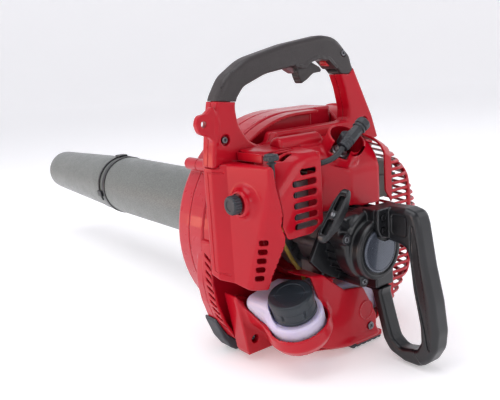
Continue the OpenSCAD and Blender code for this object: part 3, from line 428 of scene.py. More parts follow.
# ---------------------------------------------------------------- materials
def srgb(r, g, b):
    return tuple(((c / 255) / 12.92 if c / 255 <= 0.04045 else ((c / 255 + 0.055) / 1.055) ** 2.4) for c in (r, g, b)) + (1.0,)


def shade(c, k):
    return tuple(min(1, max(0, x * k)) for x in c[:3]) + (1.0,)


def finish_mat(name, colour, rough=0.3, rough2=None, metallic=0.0, coat=0.0, coat_rough=0.05, vary=0.06, vary_scale=18, bump=0.1, bump_scale=900,
               bump_kind="noise", bump_dist=0.0002, edge=None, sheen=0.0, trans=0.0, sss=0.0, sss_col=None, streak=None, ior=1.5, speckle=None,
               crevice_shade=None, spec=0.5):
    """Moulded plastic, rubber or metal: colour and roughness that vary a little, a fine surface grain, paler edges, and
    painted shade that darkens creases and recesses.
    """
    m = bpy.data.materials.new(name)
    m.use_nodes = True
    t = m.node_tree
    N, L = t.nodes, t.links
    bs = N["Principled BSDF"]
    bs.inputs["Metallic"].default_value = metallic
    bs.inputs["IOR"].default_value = ior
    bs.inputs["Specular IOR Level"].default_value = spec
    bs.inputs["Coat Weight"].default_value = coat
    bs.inputs["Coat Roughness"].default_value = coat_rough
    bs.inputs["Sheen Weight"].default_value = sheen
    if trans:
        bs.inputs["Transmission Weight"].default_value = trans
    if sss:
        bs.inputs["Subsurface Weight"].default_value = sss
        bs.inputs["Subsurface Radius"].default_value = sss_col or (0.02, 0.02, 0.03)
        bs.inputs["Subsurface Scale"].default_value = 1.0
    tc = N.new("ShaderNodeTexCoord")

    def noise(scale, detail=3, rough=0.5, stretch=None):
        n = N.new("ShaderNodeTexNoise")
        n.inputs["Scale"].default_value = scale
        n.inputs["Detail"].default_value = detail
        n.inputs["Roughness"].default_value = rough
        src = tc.outputs["Object"]
        if stretch:
            mp = N.new("ShaderNodeMapping")
            mp.inputs["Scale"].default_value = stretch
            L.new(src, mp.inputs["Vector"])
            src = mp.outputs["Vector"]
        L.new(src, n.inputs["Vector"])
        return n.outputs["Fac"]

    def mix(fac, a, b):
        x = N.new("ShaderNodeMix")
        x.data_type = "RGBA"
        if isinstance(fac, float):
            x.inputs[0].default_value = fac
        else:
            L.new(fac, x.inputs[0])
        for s, v in ((x.inputs[6], a), (x.inputs[7], b)):
            if isinstance(v, tuple):
                s.default_value = v
            else:
                L.new(v, s)
        return x.outputs[2]

    def remap(v, a, b, c, d):
        x = N.new("ShaderNodeMapRange")
        L.new(v, x.inputs[0])
        for i, k in enumerate((a, b, c, d)):
            x.inputs[i + 1].default_value = k
        return x.outputs[0]

    big = noise(vary_scale, 4, 0.6)
    col = mix(remap(big, 0.3, 0.7, 0, 1), shade(colour, 1 - vary), shade(colour, 1 + vary))
    if speckle:
        sp = noise(speckle[1], 2, 0.5, speckle[3] if len(speckle) > 3 else None)
        col = mix(remap(sp, 0.42, 0.62, 0, speckle[2]), col, speckle[0])
    if streak:
        st = noise(streak[0], 3, 0.6, streak[1])
        col = mix(remap(st, 0.35, 0.65, 0, streak[2]), col, streak[3])
    if edge:
        g = N.new("ShaderNodeNewGeometry")
        col = mix(remap(g.outputs["Pointiness"], 0.52, 0.62, 0, edge[1]), col, edge[0])
    # painted shade: ambient occlusion darkens the colour in creases, slots and recesses, where shade falls
    if crevice_shade:
        ao = N.new("ShaderNodeAmbientOcclusion")
        ao.inputs["Distance"].default_value = crevice_shade[2]
        ao.samples = 4
        col = mix(remap(ao.outputs["AO"], 0.25, 0.85, crevice_shade[1], 0), col, crevice_shade[0])
    L.new(col, bs.inputs["Base Color"])
    r2 = rough * 1.25 if rough2 is None else rough2
    L.new(remap(noise(vary_scale * 5, 4, 0.6), 0.3, 0.7, rough, r2), bs.inputs["Roughness"])
    if bump:
        if bump_kind == "noise":
            h = noise(bump_scale, 4, 0.6)
        elif bump_kind == "brushed":
            h = noise(bump_scale, 3, 0.6, (1, 0.02, 1))
        elif bump_kind == "cells":
            v = N.new("ShaderNodeTexVoronoi")
            v.inputs["Scale"].default_value = bump_scale
            L.new(tc.outputs["Object"], v.inputs["Vector"])
            h = v.outputs["Distance"]
        elif bump_kind == "twist":
            w = N.new("ShaderNodeTexWave")
            w.bands_direction = "DIAGONAL"
            w.inputs["Scale"].default_value = bump_scale
            w.inputs["Distortion"].default_value = 0.4
            L.new(tc.outputs["Object"], w.inputs["Vector"])
            h = w.outputs["Fac"]
        b = N.new("ShaderNodeBump")
        b.inputs["Strength"].default_value = bump
        b.inputs["Distance"].default_value = bump_dist
        L.new(h, b.inputs["Height"])
        L.new(b.outputs["Normal"], bs.inputs["Normal"])
    return m


RED = srgb(176, 4, 28)
M = {}
# red_gloss and red_gloss_fan carry painted shade: a darker red in creases and recesses
M["red"] = finish_mat("red_gloss", RED, 0.28, 0.36, spec=0.2, coat=0.26, coat_rough=0.05, vary=0.05, bump=0.05, bump_scale=500, edge=(srgb(206, 40, 50), 0.3), crevice_shade=(srgb(96, 4, 14), 0.4, 0.005))
M["red_fan"] = finish_mat("red_gloss_fan", srgb(176, 8, 34), 0.26, 0.34, spec=0.22, coat=0.34, coat_rough=0.05, vary=0.05, bump=0.05, bump_scale=450, edge=(srgb(206, 50, 62), 0.3), crevice_shade=(srgb(96, 4, 14), 0.4, 0.005))
M["red_in"] = finish_mat("red_moulded", srgb(170, 12, 26), 0.42, 0.5, vary=0.06, bump=0.12, bump_scale=700)
M["grip"] = finish_mat("grip_rubber", srgb(43, 37, 37), 0.42, 0.56, vary=0.12, vary_scale=30, bump=0.35, bump_scale=1500, bump_kind="noise", sheen=0.05, edge=(srgb(80, 74, 76), 0.3), speckle=(srgb(60, 53, 53), 700, 0.3))
M["black"] = finish_mat("black_satin", srgb(17, 18, 21), 0.28, 0.38, vary=0.15, bump=0.2, bump_scale=1100, edge=(srgb(52, 56, 64), 0.3), coat=0.1, coat_rough=0.2)
M["black_matt"] = finish_mat("black_matt", srgb(23, 23, 25), 0.55, 0.7, vary=0.2, bump=0.3, bump_scale=900, edge=(srgb(60, 60, 64), 0.4))
M["boot"] = finish_mat("boot_rubber", srgb(30, 33, 38), 0.4, 0.52, vary=0.15, bump=0.2, bump_scale=800, edge=(srgb(90, 98, 104), 0.5))
M["lead"] = finish_mat("lead_rubber", srgb(38, 39, 42), 0.5, 0.6, vary=0.12, bump=0.3, bump_scale=600)
M["tube"] = finish_mat("tube_textured", srgb(90, 96, 93), 0.3, 0.42, vary=0.07, vary_scale=12, bump=0.55, bump_scale=850, bump_kind="noise", bump_dist=0.0004, speckle=(srgb(130, 134, 128), 900, 0.4, (1.0, 0.35, 1.0)), coat=0.25, coat_rough=0.25)
M["tank"] = finish_mat("tank_milky", srgb(200, 190, 226), 0.3, 0.38, vary=0.04, vary_scale=25, bump=0.06, bump_scale=300, sss=0.6, sss_col=(0.012, 0.012, 0.02), coat=0.2, coat_rough=0.2)
M["cap"] = finish_mat("cap_plastic", srgb(28, 36, 43), 0.36, 0.46, vary=0.12, bump=0.25, bump_scale=1000, edge=(srgb(96, 108, 118), 0.5))
M["knob"] = finish_mat("knob_plastic", srgb(36, 40, 46), 0.42, 0.52, vary=0.14, bump=0.3, bump_scale=1100, edge=(srgb(92, 98, 106), 0.5))
M["badge"] = finish_mat("badge_plate", srgb(74, 80, 92), 0.2, 0.28, metallic=0.55, vary=0.08, vary_scale=40, bump=0.08, bump_scale=1200, bump_kind="brushed", coat=0.6, coat_rough=0.06)
M["steel"] = finish_mat("steel_plain", srgb(164, 166, 170), 0.26, 0.38, metallic=1.0, vary=0.08, bump=0.12, bump_scale=700, bump_kind="brushed", edge=(srgb(210, 212, 214), 0.4))
# screw_zinc and cast_alloy carry painted shade: darker in slots and recesses
M["screw"] = finish_mat("screw_zinc", srgb(118, 118, 122), 0.32, 0.42, metallic=1.0, vary=0.12, vary_scale=200, bump=0.15, bump_scale=900, crevice_shade=(srgb(40, 38, 38), 0.7, 0.003))
M["cast"] = finish_mat("cast_alloy", srgb(158, 160, 164), 0.42, 0.55, metallic=0.9, vary=0.1, vary_scale=60, bump=0.5, bump_scale=420, bump_kind="noise", bump_dist=0.0004, crevice_shade=(srgb(70, 68, 66), 0.6, 0.006))
M["nylon"] = finish_mat("nylon_white", srgb(222, 220, 212), 0.4, 0.5, vary=0.04, bump=0.1, bump_scale=500, sss=0.15, sss_col=(0.004, 0.004, 0.004))
M["foam"] = finish_mat("filter_foam", srgb(72, 74, 80), 0.8, 0.95, vary=0.2, vary_scale=60, bump=0.9, bump_scale=900, bump_kind="cells", bump_dist=0.0008)
M["ceramic"] = finish_mat("plug_ceramic", srgb(234, 232, 226), 0.12, 0.18, vary=0.03, bump=0.03, bump_scale=200, coat=0.6)
M["line"] = finish_mat("line_clear_amber", srgb(196, 166, 84), 0.22, 0.3, vary=0.06, bump=0.05, bump_scale=300, sss=0.3, sss_col=(0.003, 0.003, 0.002))
M["rope"] = finish_mat("rope_braid", srgb(40, 40, 44), 0.75, 0.9, vary=0.25, vary_scale=900, bump=0.8, bump_scale=700, bump_kind="twist", bump_dist=0.0005)
M["rubber"] = finish_mat("foot_rubber", srgb(52, 56, 62), 0.55, 0.7, vary=0.12, bump=0.35, bump_scale=700, edge=(srgb(84, 88, 94), 0.4))
M["lever"] = finish_mat("lever_plastic", srgb(108, 72, 76), 0.38, 0.46, vary=0.08, bump=0.12, bump_scale=800, edge=(srgb(150, 116, 118), 0.4))
M["switch"] = finish_mat("switch_red", srgb(204, 14, 24), 0.3, 0.38, vary=0.05, bump=0.05, bump_scale=700, coat=0.3)
M["brass"] = finish_mat("brass_plain", srgb(190, 158, 92), 0.3, 0.4, metallic=1.0, vary=0.08, bump=0.1, bump_scale=600, bump_kind="brushed")
M["muffler"] = finish_mat("muffler_steel", srgb(120, 118, 116), 0.4, 0.55, metallic=0.85, vary=0.15, vary_scale=50, bump=0.3, bump_scale=400, streak=(60, (1, 1, 0.3), 0.4, srgb(92, 74, 60)))
M["knot"] = finish_mat("rope_ferrule", srgb(150, 152, 156), 0.3, 0.42, metallic=0.9, vary=0.12, vary_scale=80, bump=0.2, bump_scale=900)
M["dark_screw"] = finish_mat("screw_black_oxide", srgb(46, 46, 48), 0.34, 0.46, metallic=0.9, vary=0.12, vary_scale=200, bump=0.15, bump_scale=900)


# ---------------------------------------------------------------- fan housing
scroll_r0, scroll_grow, case_wall, out_x = 112, 30, 3, 74
bosses = [(-108, 88), (-84, -98), (84, -92), (118, 10)]


def scroll_r(f):
    return scroll_r0 + scroll_grow * (40 - f) / 360


def scroll_poly(o=0.0):
    """The scroll and its outlet throat as one outline."""
    a = [math.radians(g) for g in np.arange(90, 396, 5)]
    p = [((scroll_r(math.degrees(g) - 360 if math.degrees(g) > 40 else math.degrees(g)) + o) * math.cos(g),
          (scroll_r(math.degrees(g) - 360 if math.degrees(g) > 40 else math.degrees(g)) + o) * math.sin(g)) for g in a]
    ztop, x1, z1 = scroll_r(-270) + o, out_x - 2 + min(o, 0), 46 + o
    p = [q for q in p if not (q[0] > x1 and q[1] > z1)]
    last = max((q for q in p[len(p) // 2:]), key=lambda q: q[1] if q[0] > x1 else -999)
    r = math.hypot(*last)
    corner_pt = (math.sqrt(max(r * r - z1 * z1, x1 * x1)), z1)
    return p + [corner_pt, (x1, z1), (x1, ztop)]


SC = {o: scroll_poly(o) for o in (0.0, -1.0, -3.0, -4.5)}


# skirt at the scroll's lower left, in line with the base plate's corner
skirt = rounded([[-60, -10, 0], [-126, 6, 4], [-133, -24, 20], [-134.2, -38, 20], [-130.2, -62, 20], [-122.3, -86, 12], [-109.8, -106, 8], [-97, -117, 4], [-84, -120.5, 2], [-60, -119, 0]])


def f_fan_inner(X, Y, Z):
    d2 = poly(SC[0.0], X, Z)
    d = prism(d2, Y, 140, 167.8, 5, 1.3)
    d = join(d, prism(poly(skirt, X, Z), Y, 140, 154, 0.8, 1.5), 1.5)
    for q in bosses:
        d = join(d, rod(X, Z, Y, q[0], q[1], 7, 148, 167.8, 1.2, 0.4), 2.5)
    d = cut(d, prism(poly(SC[-3.0], X, Z), Y, 143, 172, 3, 0), 0.4)
    d = cut(d, np.hypot(X, Z) - 16, 0.5)
    d = cut(d, np.maximum(rect(Y, Z, 143, 200, 50, 134.8, 2), 66 - X), 0.3)
    for q in bosses:
        d = cut(d, rod(X, Z, Y, q[0], q[1], 2.05, 152, 172), 0)
    return d


def f_fan_outer(X, Y, Z):
    d2 = poly(SC[0.0], X, Z)
    d = prism(d2, Y, 168.2, 196, 1.3, 9)
    R = np.hypot(X, Z)
    d = join(d, prism(R - 57, Y, 190, 196.0, 0.5, 0.8), 0.6)
    for q in bosses:
        d = join(d, rod(X, Z, Y, q[0], q[1], 7, 168.2, 191, 0.4, 1.6), 3)
    d = cut(d, prism(poly(SC[-3.0], X, Z), Y, 160, 193, 0, 6), 0.4)
    d = cut(d, np.maximum(R - 50, 188 - Y), 0.6)
    d = cut(d, np.maximum(rect(Y, Z, 130, 193, 50, 134.8, 2), 66 - X), 0.3)
    for q in bosses:
        d = cut(d, rod(X, Z, Y, q[0], q[1], 3.4, 186, 200), 0.4)
    return d


solid("fan_housing_near", f_fan_inner, (-137, 140, -130), (125, 168, 138), 1.8, M["red_fan"], nodes=("fan_case_inner",))
solid("fan_housing_far", f_fan_outer, (-137, 168, -130), (125, 196.2, 138), 1.8, M["red_fan"], nodes=("fan_case_outer",))


# ---------------------------------------------------------------- plate between fan and engine
base_corner = rounded([[-60, 0, 0], [-133, 12, 4], [-134.5, -36, 20], [-130.5, -62, 20], [-122.5, -86, 12], [-110, -106, 10], [-96, -118, 6], [-84, -121, 4], [-40, -121, 0], [-40, -60, 0]])
base_corner_in = rounded([[-60, -4, 0], [-129.5, 6, 3], [-131, -36, 18], [-127, -61, 18], [-119, -84, 10], [-107.5, -103, 8], [-95, -114.5, 4], [-84, -117, 3], [-40, -117, 0], [-40, -60, 0]])


def f_base(X, Y, Z):
    o = np.minimum(poly(SC[-1.0], X, Z), poly(base_corner, X, Z))
    i = np.minimum(poly(SC[-4.5], X, Z), poly(base_corner_in, X, Z))
    d = prism(o, Y, 122.3, 139.8, 1.0, 0.8)
    d = cut(d, prism(i, Y, 110, 135.8, 0, 2), 0.4)
    for q in [[-90, 88], [-92, -70], [60, -92], [100, 28], [-30, -105]]:
        d = np.minimum(d, rod(X, Z, Y, q[0], q[1], 7, 122.3, 138, 1))
    R = np.hypot(X, Z)
    d = np.minimum(d, prism(np.maximum(R - 60, 54 - R), Y, 122.3, 138, 1))
    d = cut(d, np.maximum(R - 16, 120 - Y), 0.4)
    # ten slanting slits in the left wall
    zz = Z - 0.55 * (Y - 126.5)
    k = np.clip(np.round((-9 - zz) / 8.9), 0, 9)
    s = rect(Y, zz + 9 + 8.9 * k, 123.3, 133.8, -2.0, 2.0, 1.0)
    d = cut(d, np.maximum(s, X + 104 - 0.9 * k), 0.3)
    return cut(d, np.maximum(38 - X, 47 - Z), 7)


solid("engine_base_plate", f_base, (-136, 122, -122), (125, 140, 137), 1.5, M["red"], nodes=("base_plate",))


# ---------------------------------------------------------------- main handle
hy0, hy1, hym = 100, 122, 111
handle_out = rounded([[-136, 94, 2], [-131, 133, 20], [-125, 164, 30], [-112, 184.5, 30], [-85, 201.5, 60], [-30, 214, 120], [24, 221.5, 40],
                      [46, 218.5, 40], [68, 197, 12], [71, 187, 20], [103, 124, 20], [113, 96, 2], [62, 88, 4], [20, 94, 6], [-60, 94, 6]], 8)
handle_win = rounded([[-49, 121, 5], [-55, 110, 3], [-64, 108.5, 6], [-86, 114, 30], [-100, 136, 30], [-103, 158, 20], [-90, 173, 18], [-60, 184, 60], [-16, 190, 20],
                      [-4, 188, 2], [0, 192, 8], [16, 196.5, 14], [33, 194, 10], [44, 184, 4], [50, 178, 4], [57, 160, 20], [63, 136, 16], [62, 121, 6]], 6)
grip_zone = [[-160, 165], [-100, 158.5], [-80, 140], [20, 140], [40, 178], [64, 176], [90, 196], [90, 240], [-160, 240]]
grip_core = [[-114, 158], [-110.5, 170], [-98, 182.5], [-77, 191.6], [-30, 201.6], [20, 208.6], [42, 206.6], [58, 195.6], [64, 184]]
pocket = [[-34.2, 178], [-34.2, 200.5], [-22, 203.5], [6, 204.5], [36, 204], [47, 195], [53, 187], [46, 170], [0, 160]]
lug_out = rounded([[-128, 116, 2], [-137, 126, 6], [-149, 131, 6], [-152, 140, 6], [-149, 149, 7], [-140, 150, 6], [-130, 158, 3], [-124, 140, 1]])
cable_pts = [[-36.5, hym, 194.6], [-60, hym, 190.5], [-90, hym, 182], [-107, hym, 166], [-111, hym, 145], [-109, hym, 121], [-108, hym, 104], [-108, hym, 92], [-104, 107, 86], [-92, 103, 84.5], [-74, 97, 85], [-58, 86, 84]]


def handle2(X, Z):
    o, w = poly(handle_out, X, Z), poly(handle_win, X, Z)
    return o, w


def handle_common(X, Y, Z, y0, y1, near):
    o, w = handle2(X, Z)
    zone = poly(grip_zone, X, Z)
    r_face, r_seam = 3.6, 0.5
    ra, rb = (r_face, r_seam) if near else (r_seam, r_face)
    d = prism(both(o, -w, 0), Y, y0, y1, ra, rb)
    d = cut(d, zone - 0.35, 0.5)
    core = prism(path2(grip_core, X, Z) - 6.4, Y, max(y0, hy0 + 3.2), min(y1, hy1 - 3.2), 0.6)
    d = np.minimum(d, np.maximum(core, zone))
    # on the near half: a lug with a hole beside the left post, screw counterbores, and pivot holes
    if near:
        lug = prism(poly(lug_out, X, Z), Y, y0, y0 + 7.5, 1.6, 1.2)
        d = join(d, lug, 2.2)
        d = cut(d, np.hypot(X + 143, Z - 140) - 3.2, 0.9)
        for q in ((-118, 121), (88, 118)):
            d = cut(d, rod(X, Z, Y, q[0], q[1], 5.6, y0 - 5, y0 + 4.4), 1.2)
            d = cut(d, np.hypot(X - q[0], Z - q[1]) - 2.2, 0.2)
        for x, z, r in ((-22, 196.5, 2.1), (-31, 193.2, 1.3)):
            d = cut(d, np.maximum(np.hypot(X - x, Z - z) - r, hy0 + 3 - Y), 0)
    d = cut(d, prism(poly(pocket, X, Z), Y, hy0 + 4.4, hy1 - 4.4, 0.5), 0.3)
    u, v, w2 = plug_frame(X, Y, Z)
    d = cut(d, np.maximum(np.hypot(u, v) - 24, np.abs(w2 - 36) - 24), 1.5)
    return d


def f_handle_near(X, Y, Z):
    return handle_common(X, Y, Z, hy0, hym - 0.15, True)


def f_handle_far(X, Y, Z):
    d = handle_common(X, Y, Z, hym + 0.15, hy1, False)
    for x, z, r in ((-22, 196.5, 2.0), (-31, 193.2, 1.2)):
        d = np.minimum(d, rod(X, Z, Y, x, z, r, hy0 + 3.6, hy1 - 4, 0.3))
    for q in ((-118, 121), (88, 118)):
        d = cut(d, np.maximum(np.hypot(X - q[0], Z - q[1]) - 2.2, Y - 119), 0.2)
    return d


solid("handle_near_shell", f_handle_near, (-152.2, 100, 87.5), (113.2, 111, 217), 1.25, M["red"], nodes=("handle_half_near",))
solid("handle_far_shell", f_handle_far, (-137, 103, 87.5), (113.2, 122, 217), 1.4, M["red"], nodes=("handle_half_far",))


def f_grip(X, Y, Z):
    o, w = handle2(X, Z)
    d = both(both(o, np.abs(Y - hym) - 11.4, 6.5), both(-w, np.abs(Y - hym) - 11.4, 3.2), 0.6)
    d = both(d, poly(grip_zone, X, Z), 0.7)
    d = cut(d, prism(path2(grip_core, X, Z) - 7.0, Y, hy0 + 2.5, hy1 - 2.5, 0.5), 0)
    d = cut(d, prism(poly(pocket, X, Z), Y, hy0 + 3.4, hy1 - 3.4, 0.5), 0.4)
    # raised lip round the finger notch
    lip = np.abs(path2([(-16, 190), (-4, 188), (1, 193), (16, 197.3), (33, 194.8), (44, 185)], X, Z) - 1.0) - 1.1
    d = join(d, both(lip, np.abs(Y - hym) - 11.7, 0.5), 0.5)
    d = both(d, np.abs(Y - hym) - 11.9, 0)
    d = cut(d, rod(X, Z, Y, 56, 200, 4.2, hy0 - 5, hy0 + 2.6), 0.8)
    return d


solid("grip_sleeve", f_grip, (-128, 99, 157), (73, 123, 222), 1.2, M["grip"], nodes=("grip_cover",))


def f_trigger(X, Y, Z):
    d2 = poly(rounded([[-28, 200, 4], [-4, 199, 6], [10, 193, 12], [24, 186, 6], [26, 181, 3], [13, 180, 10], [3, 173.5, 8], [-6, 169.5, 2], [-10, 178, 6], [-13, 190, 6], [-27, 192.5, 3]], 4), X, Z)
    d = prism(d2, Y, hy0 + 4.9, hy1 - 4.9, 2.0)
    # finger ribs across the front
    for x, z in ((-8.6, 174), (-10.6, 180), (-12, 186)):
        d = cut(d, np.maximum(np.hypot(X - x, Z - z) - 1.1, np.abs(Y - hym) - 4.6), 0.4)
    return cut(d, np.hypot(X + 22, Z - 196.5) - 2.06, 0.2)


solid("trigger_blade", f_trigger, (-29, 104, 169), (27, 118, 201), 0.75, M["grip"], "trigger", ("throttle_trigger",))


def f_lever(X, Y, Z):
    d2 = poly(rounded([[-31.5, 191.5, 1], [-28, 189.4, 1], [-26, 186, 2], [-17, 181, 2], [-15.5, 184.5, 2], [-17, 188.6, 1], [-28.6, 191, 0.5], [-30, 193, 0.5]], 3), X, Z)
    d = prism(d2, Y, hy0 + 6, hym + 3, 1.0)
    d = join(d, rod(X, Z, Y, -31, 193.2, 2.6, hy0 + 6, hym + 3, 0.4), 0.5)
    for i in range(3):
        d = cut(d, np.hypot(X + 24.2 - 2.6 * i, Z - 184.6 + 1.5 * i) - 0.6, 0.2)
    return cut(d, np.hypot(X + 31, Z - 193.2) - 1.25, 0.1)


solid("cruise_tab", f_lever, (-34, 105, 180), (-15, 115, 196), 0.5, M["lever"], "lever", ("cruise_lever",))


def f_stop(X, Y, Z):
    d = prism(poly(rounded([[33, 196, 2], [38, 199, 1], [43.5, 192, 1], [40.5, 186, 1], [31, 188, 3]], 3), X, Z), Y, hy0 + 6.4, hy1 - 6.4, 1.3)
    return cut(d, np.maximum(np.hypot(X - 32.5, Z - 187.6) - 1.6, np.abs(Y - hym) - 2.5), 0.4)


solid("stop_rocker", f_stop, (30, 106, 185), (45, 116, 200), 0.55, M["switch"], "stop_button", ("stop_switch",))

sweep("throttle_cable_sleeve", cable_pts, 1.2, M["black_matt"], 12, "machine", ("throttle_cable",))


# ---------------------------------------------------------------- air cleaner cover
cover_plan = rounded([[-136, 121, 0.6], [-135, 106, 5], [-124.5, 93, 3], [-113, 38, 5], [-90, 38, 0], [-90, 121, 0]], 8)
cover_plan_in = rounded([[-133, 124, 0], [-132, 107.4, 3], [-121.5, 94.4, 6], [-110.6, 41.5, 3], [-86, 41.5, 0], [-86, 124, 0]], 6)
cover_seam = rounded([[-144, -42, 0], [-104, -42, 0], [-101.5, -20, 20], [-94.5, 15, 6], [-95, 25, 6], [-99.6, 36, 2], [-98.6, 47, 1], [-101.6, 62, 2], [-105.6, 77, 2], [-107.6, 93, 1], [-110, 99, 0], [-144, 99, 0]])
cover_height = rounded([[34, 98, 0], [121, 98, 0], [121, -24, 1], [86, -33, 6], [70, -36, 4], [34, -36, 0]])
cover_height_in = rounded([[20, 95, 0], [125, 95, 0], [125, -21, 0], [87, -30, 5], [71, -33, 3], [20, -33, 0]])
facet_p, facet_n = (-115, 55, 23), (-0.569, -0.796, -0.206)


def f_cleaner_cover(X, Y, Z):
    face = plane(X, Y, Z, facet_p, facet_n)
    top = Z - 98
    d = both(poly(cover_plan, X, Y), poly(cover_height, Y, Z), 3.5)
    d = both(d, face, 3.0)
    inner = np.maximum(np.maximum(poly(cover_plan_in, X, Y), poly(cover_height_in, Y, Z)), face + 3)
    seam = poly(cover_seam, X, Z)
    d = both(d, seam, 0.5)
    d = cut(d, inner, 0.3)
    # shallow step that frames the outer wall
    frame_line = np.abs(poly(cover_height, Y, Z) + 9) - 0.7
    wall = poly(cover_plan, X, Y)
    d = cut(d, np.maximum(np.maximum(frame_line, np.abs(wall) - 0.7), 96 - Y), 0.3)
    boss = rod(Y, Z, -X, 72, 60, 14, 113, 129, 0.4, 2.6)
    d = join(d, boss, 7.0)
    d = cut(d, np.maximum(np.hypot(Y - 72, Z - 60) - 10.6, X + 126.6), 0.6)
    d = cut(d, np.hypot(Y - 72, Z - 60) - 4.05, 0.2)
    d = cut(d, rod(X, Y, Z, -103, 47, 5.2, 92, 102), 0.3)
    c, s = math.cos(math.radians(-43)), math.sin(math.radians(-43))
    for i in range(5):
        x, y, z = X + 111, Y - 53 - 2.6 * i, Z - 19 + 10 * i
        u, v = x * c + y * s, -x * s + y * c
        d = cut(d, np.maximum(rect(u, z, -7, 2.5, -3, 3, 2.2), np.abs(v - 1) - 8), 0.5)
    d = both(d, Y - 118.7, 0.3)
    return cut(d, np.maximum(99.7 - Y, 93.4 - Z), 0.4)


solid("cleaner_cover", f_cleaner_cover, (-137, 37, -37), (-97.5, 119, 98.5), 1.25, M["red"], nodes=("air_cleaner_cover",))

# ridged knob on the cleaner cover, with a stem through the wall
knob_prof = rounded([(0, -138.6, 0), (5.2, -138.6, 0.3), (5.8, -139.5, 0.4), (8.6, -139.5, 1.2), (10, -137.6, 0.8), (10, -130.4, 0.8), (8, -129.6, 0.4), (4, -129.6, 0), (4, -98, 0.5), (0, -98, 0)], 4)
lathe("cleaner_knob_turned", knob_prof, M["knob"], about_x(72, 60), 120, "cleaner_knob", ("cover_knob",),
      wave=lambda a, r, z: np.where((r > 9.2) & (z < -130.2), -0.75 * (0.5 + 0.5 * np.cos(20 * a)), 0))

# choke control: knob, collar and shaft
choke_prof = rounded([(0, 84, 0), (3, 84, 0.6), (3, 99, 0), (4.8, 99, 0.2), (4.8, 100.4, 0.2), (3, 100.4, 0), (3, 102.6, 0), (7.2, 102.6, 0.5), (7.8, 103.4, 0.5), (7.8, 106.4, 0.6), (6.9, 107.2, 0.3), (6.6, 108.5, 0.6), (3.2, 108.5, 0.3), (2.8, 108.0, 0.2), (0, 108.0, 0)], 3)
lathe("choke_pull", choke_prof, M["knob"], about_z(-103, 47), 96, "choke_control", ("choke_knob",),
      wave=lambda a, r, z: np.where((r > 7.3) & (z > 103) & (z < 106.6), -0.5 * (0.5 + 0.5 * np.cos(16 * a)), 0))

# ---------------------------------------------------------------- engine cover over the filter and carburettor
ec_out = rounded([[-98.0, 34, 1.5], [-97.0, 47, 2], [-100, 62, 2], [-104, 77, 2], [-106, 93, 1], [-106, 116, 0], [-43, 116, 0], [-43, 30, 1], [-60, 20, 4], [-92, 20, 5]], 5)
slot_z = [86, 75, 64, 52.5, 41, 31]
ec_wide = rounded([[-98.0, 34, 1.5], [-97.0, 47, 2], [-100, 62, 2], [-104, 77, 2], [-106, 93, 1], [-106, 116, 0], [-20, 116, 0], [-20, 30, 1], [-60, 20, 4], [-92, 20, 5]], 5)


def f_engine_cover(X, Y, Z):
    o = poly(ec_out, X, Z)
    top = plane(X, Y, Z, (0, 99.4, 110.4), (0, -0.1211, 0.9926))
    cham = plane(X, Y, Z, (-97.5, 40, 66), (-0.1726, -0.9773, 0.1249))
    lean = plane(X, Y, Z, (-74, 40, 92), (-0.55, -0.62, 0.56))
    d = both(both(poly(ec_wide, X, Z), 40 - Y, 1.0), cham, 5.0)
    d = both(both(d, top, 9.0), lean, 7.0)
    d = both(both(d, o, 0.6), Y - 99.4, 0.4)
    front = both(42.5 - Y, cham + 2.6, 3.0)
    d = cut(d, both(both(front, top + 2.6, 7.0), lean + 2.6, 5.0), 0.6)
    # returns at the right edge and above the cleaner cover
    d = np.minimum(d, np.maximum(np.maximum(slab(X, -45.5, -43), both(40.5 - Y, Y - 59.4, 0.4)), np.maximum(30 - Z, top)))
    d = np.minimum(d, both(slab(X, -105.9, -103.6), np.maximum(slab(Z, 98.5, 107.5), slab(Y, 58, 99.4)), 0.3))
    for i, z in enumerate(slot_z):
        x0 = -68 if i == 0 else -79
        s = path2([(x0, z), (-53, z)], X, Z) - 3.1
        d = cut(d, np.maximum(s, Y - 50), 1.0)
    for y, x0, x1 in ((53.5, -90, -70), (60.5, -92, -62), (67.5, -92, -56)):
        d = cut(d, np.maximum(rect(X, Y, x0, x1, y, y + 4.6, 1.6), 98 - Z), 0.6)
    d = cut(d, np.maximum(rect(X, Y, -114, -98, 30, 52, 2), 99 - Z), 0.8)
    d = cut(d, np.maximum(np.hypot(X + 103, Y - 47) - 9, 99.6 - Z), 0.6)
    u, v, w = plug_frame(X, Y, Z)
    d = cut(d, np.maximum(np.hypot(u, v) - 22.2, 8 - w), 0.6)
    return cut(d, brick(X, Y, Z, (-47.5, 45.5, 82.5), (-41, 61, 94), 1.2), 0.3)


solid("engine_top_cover", f_engine_cover, (-107, 39, 19), (-42.5, 100, 112), 1.1, M["red"], nodes=("engine_cover",))

# ---------------------------------------------------------------- cylinder cover with the plug cowl
cc_plan = rounded([[-42.4, 62, 0.6], [2, 40, 12], [46, 40, 8], [52, 50, 5], [52, 99.4, 0], [-42.4, 99.4, 0]], 6)
cc_plan_in = rounded([[-40, 63.7, 0], [2.5, 42.5, 10], [45, 42.5, 6], [49.5, 51, 4], [49.5, 103, 0], [-40, 103, 0]], 6)
cc_side = rounded([[38, 34, 0], [38, 74, 14], [62, 104, 20], [112, 112, 0], [112, 34, 0]], 8)
cc_side_in = rounded([[30, 28, 0], [40.5, 73, 12], [63.5, 101.5, 18], [113, 109.4, 0], [113, 28, 0]], 8)


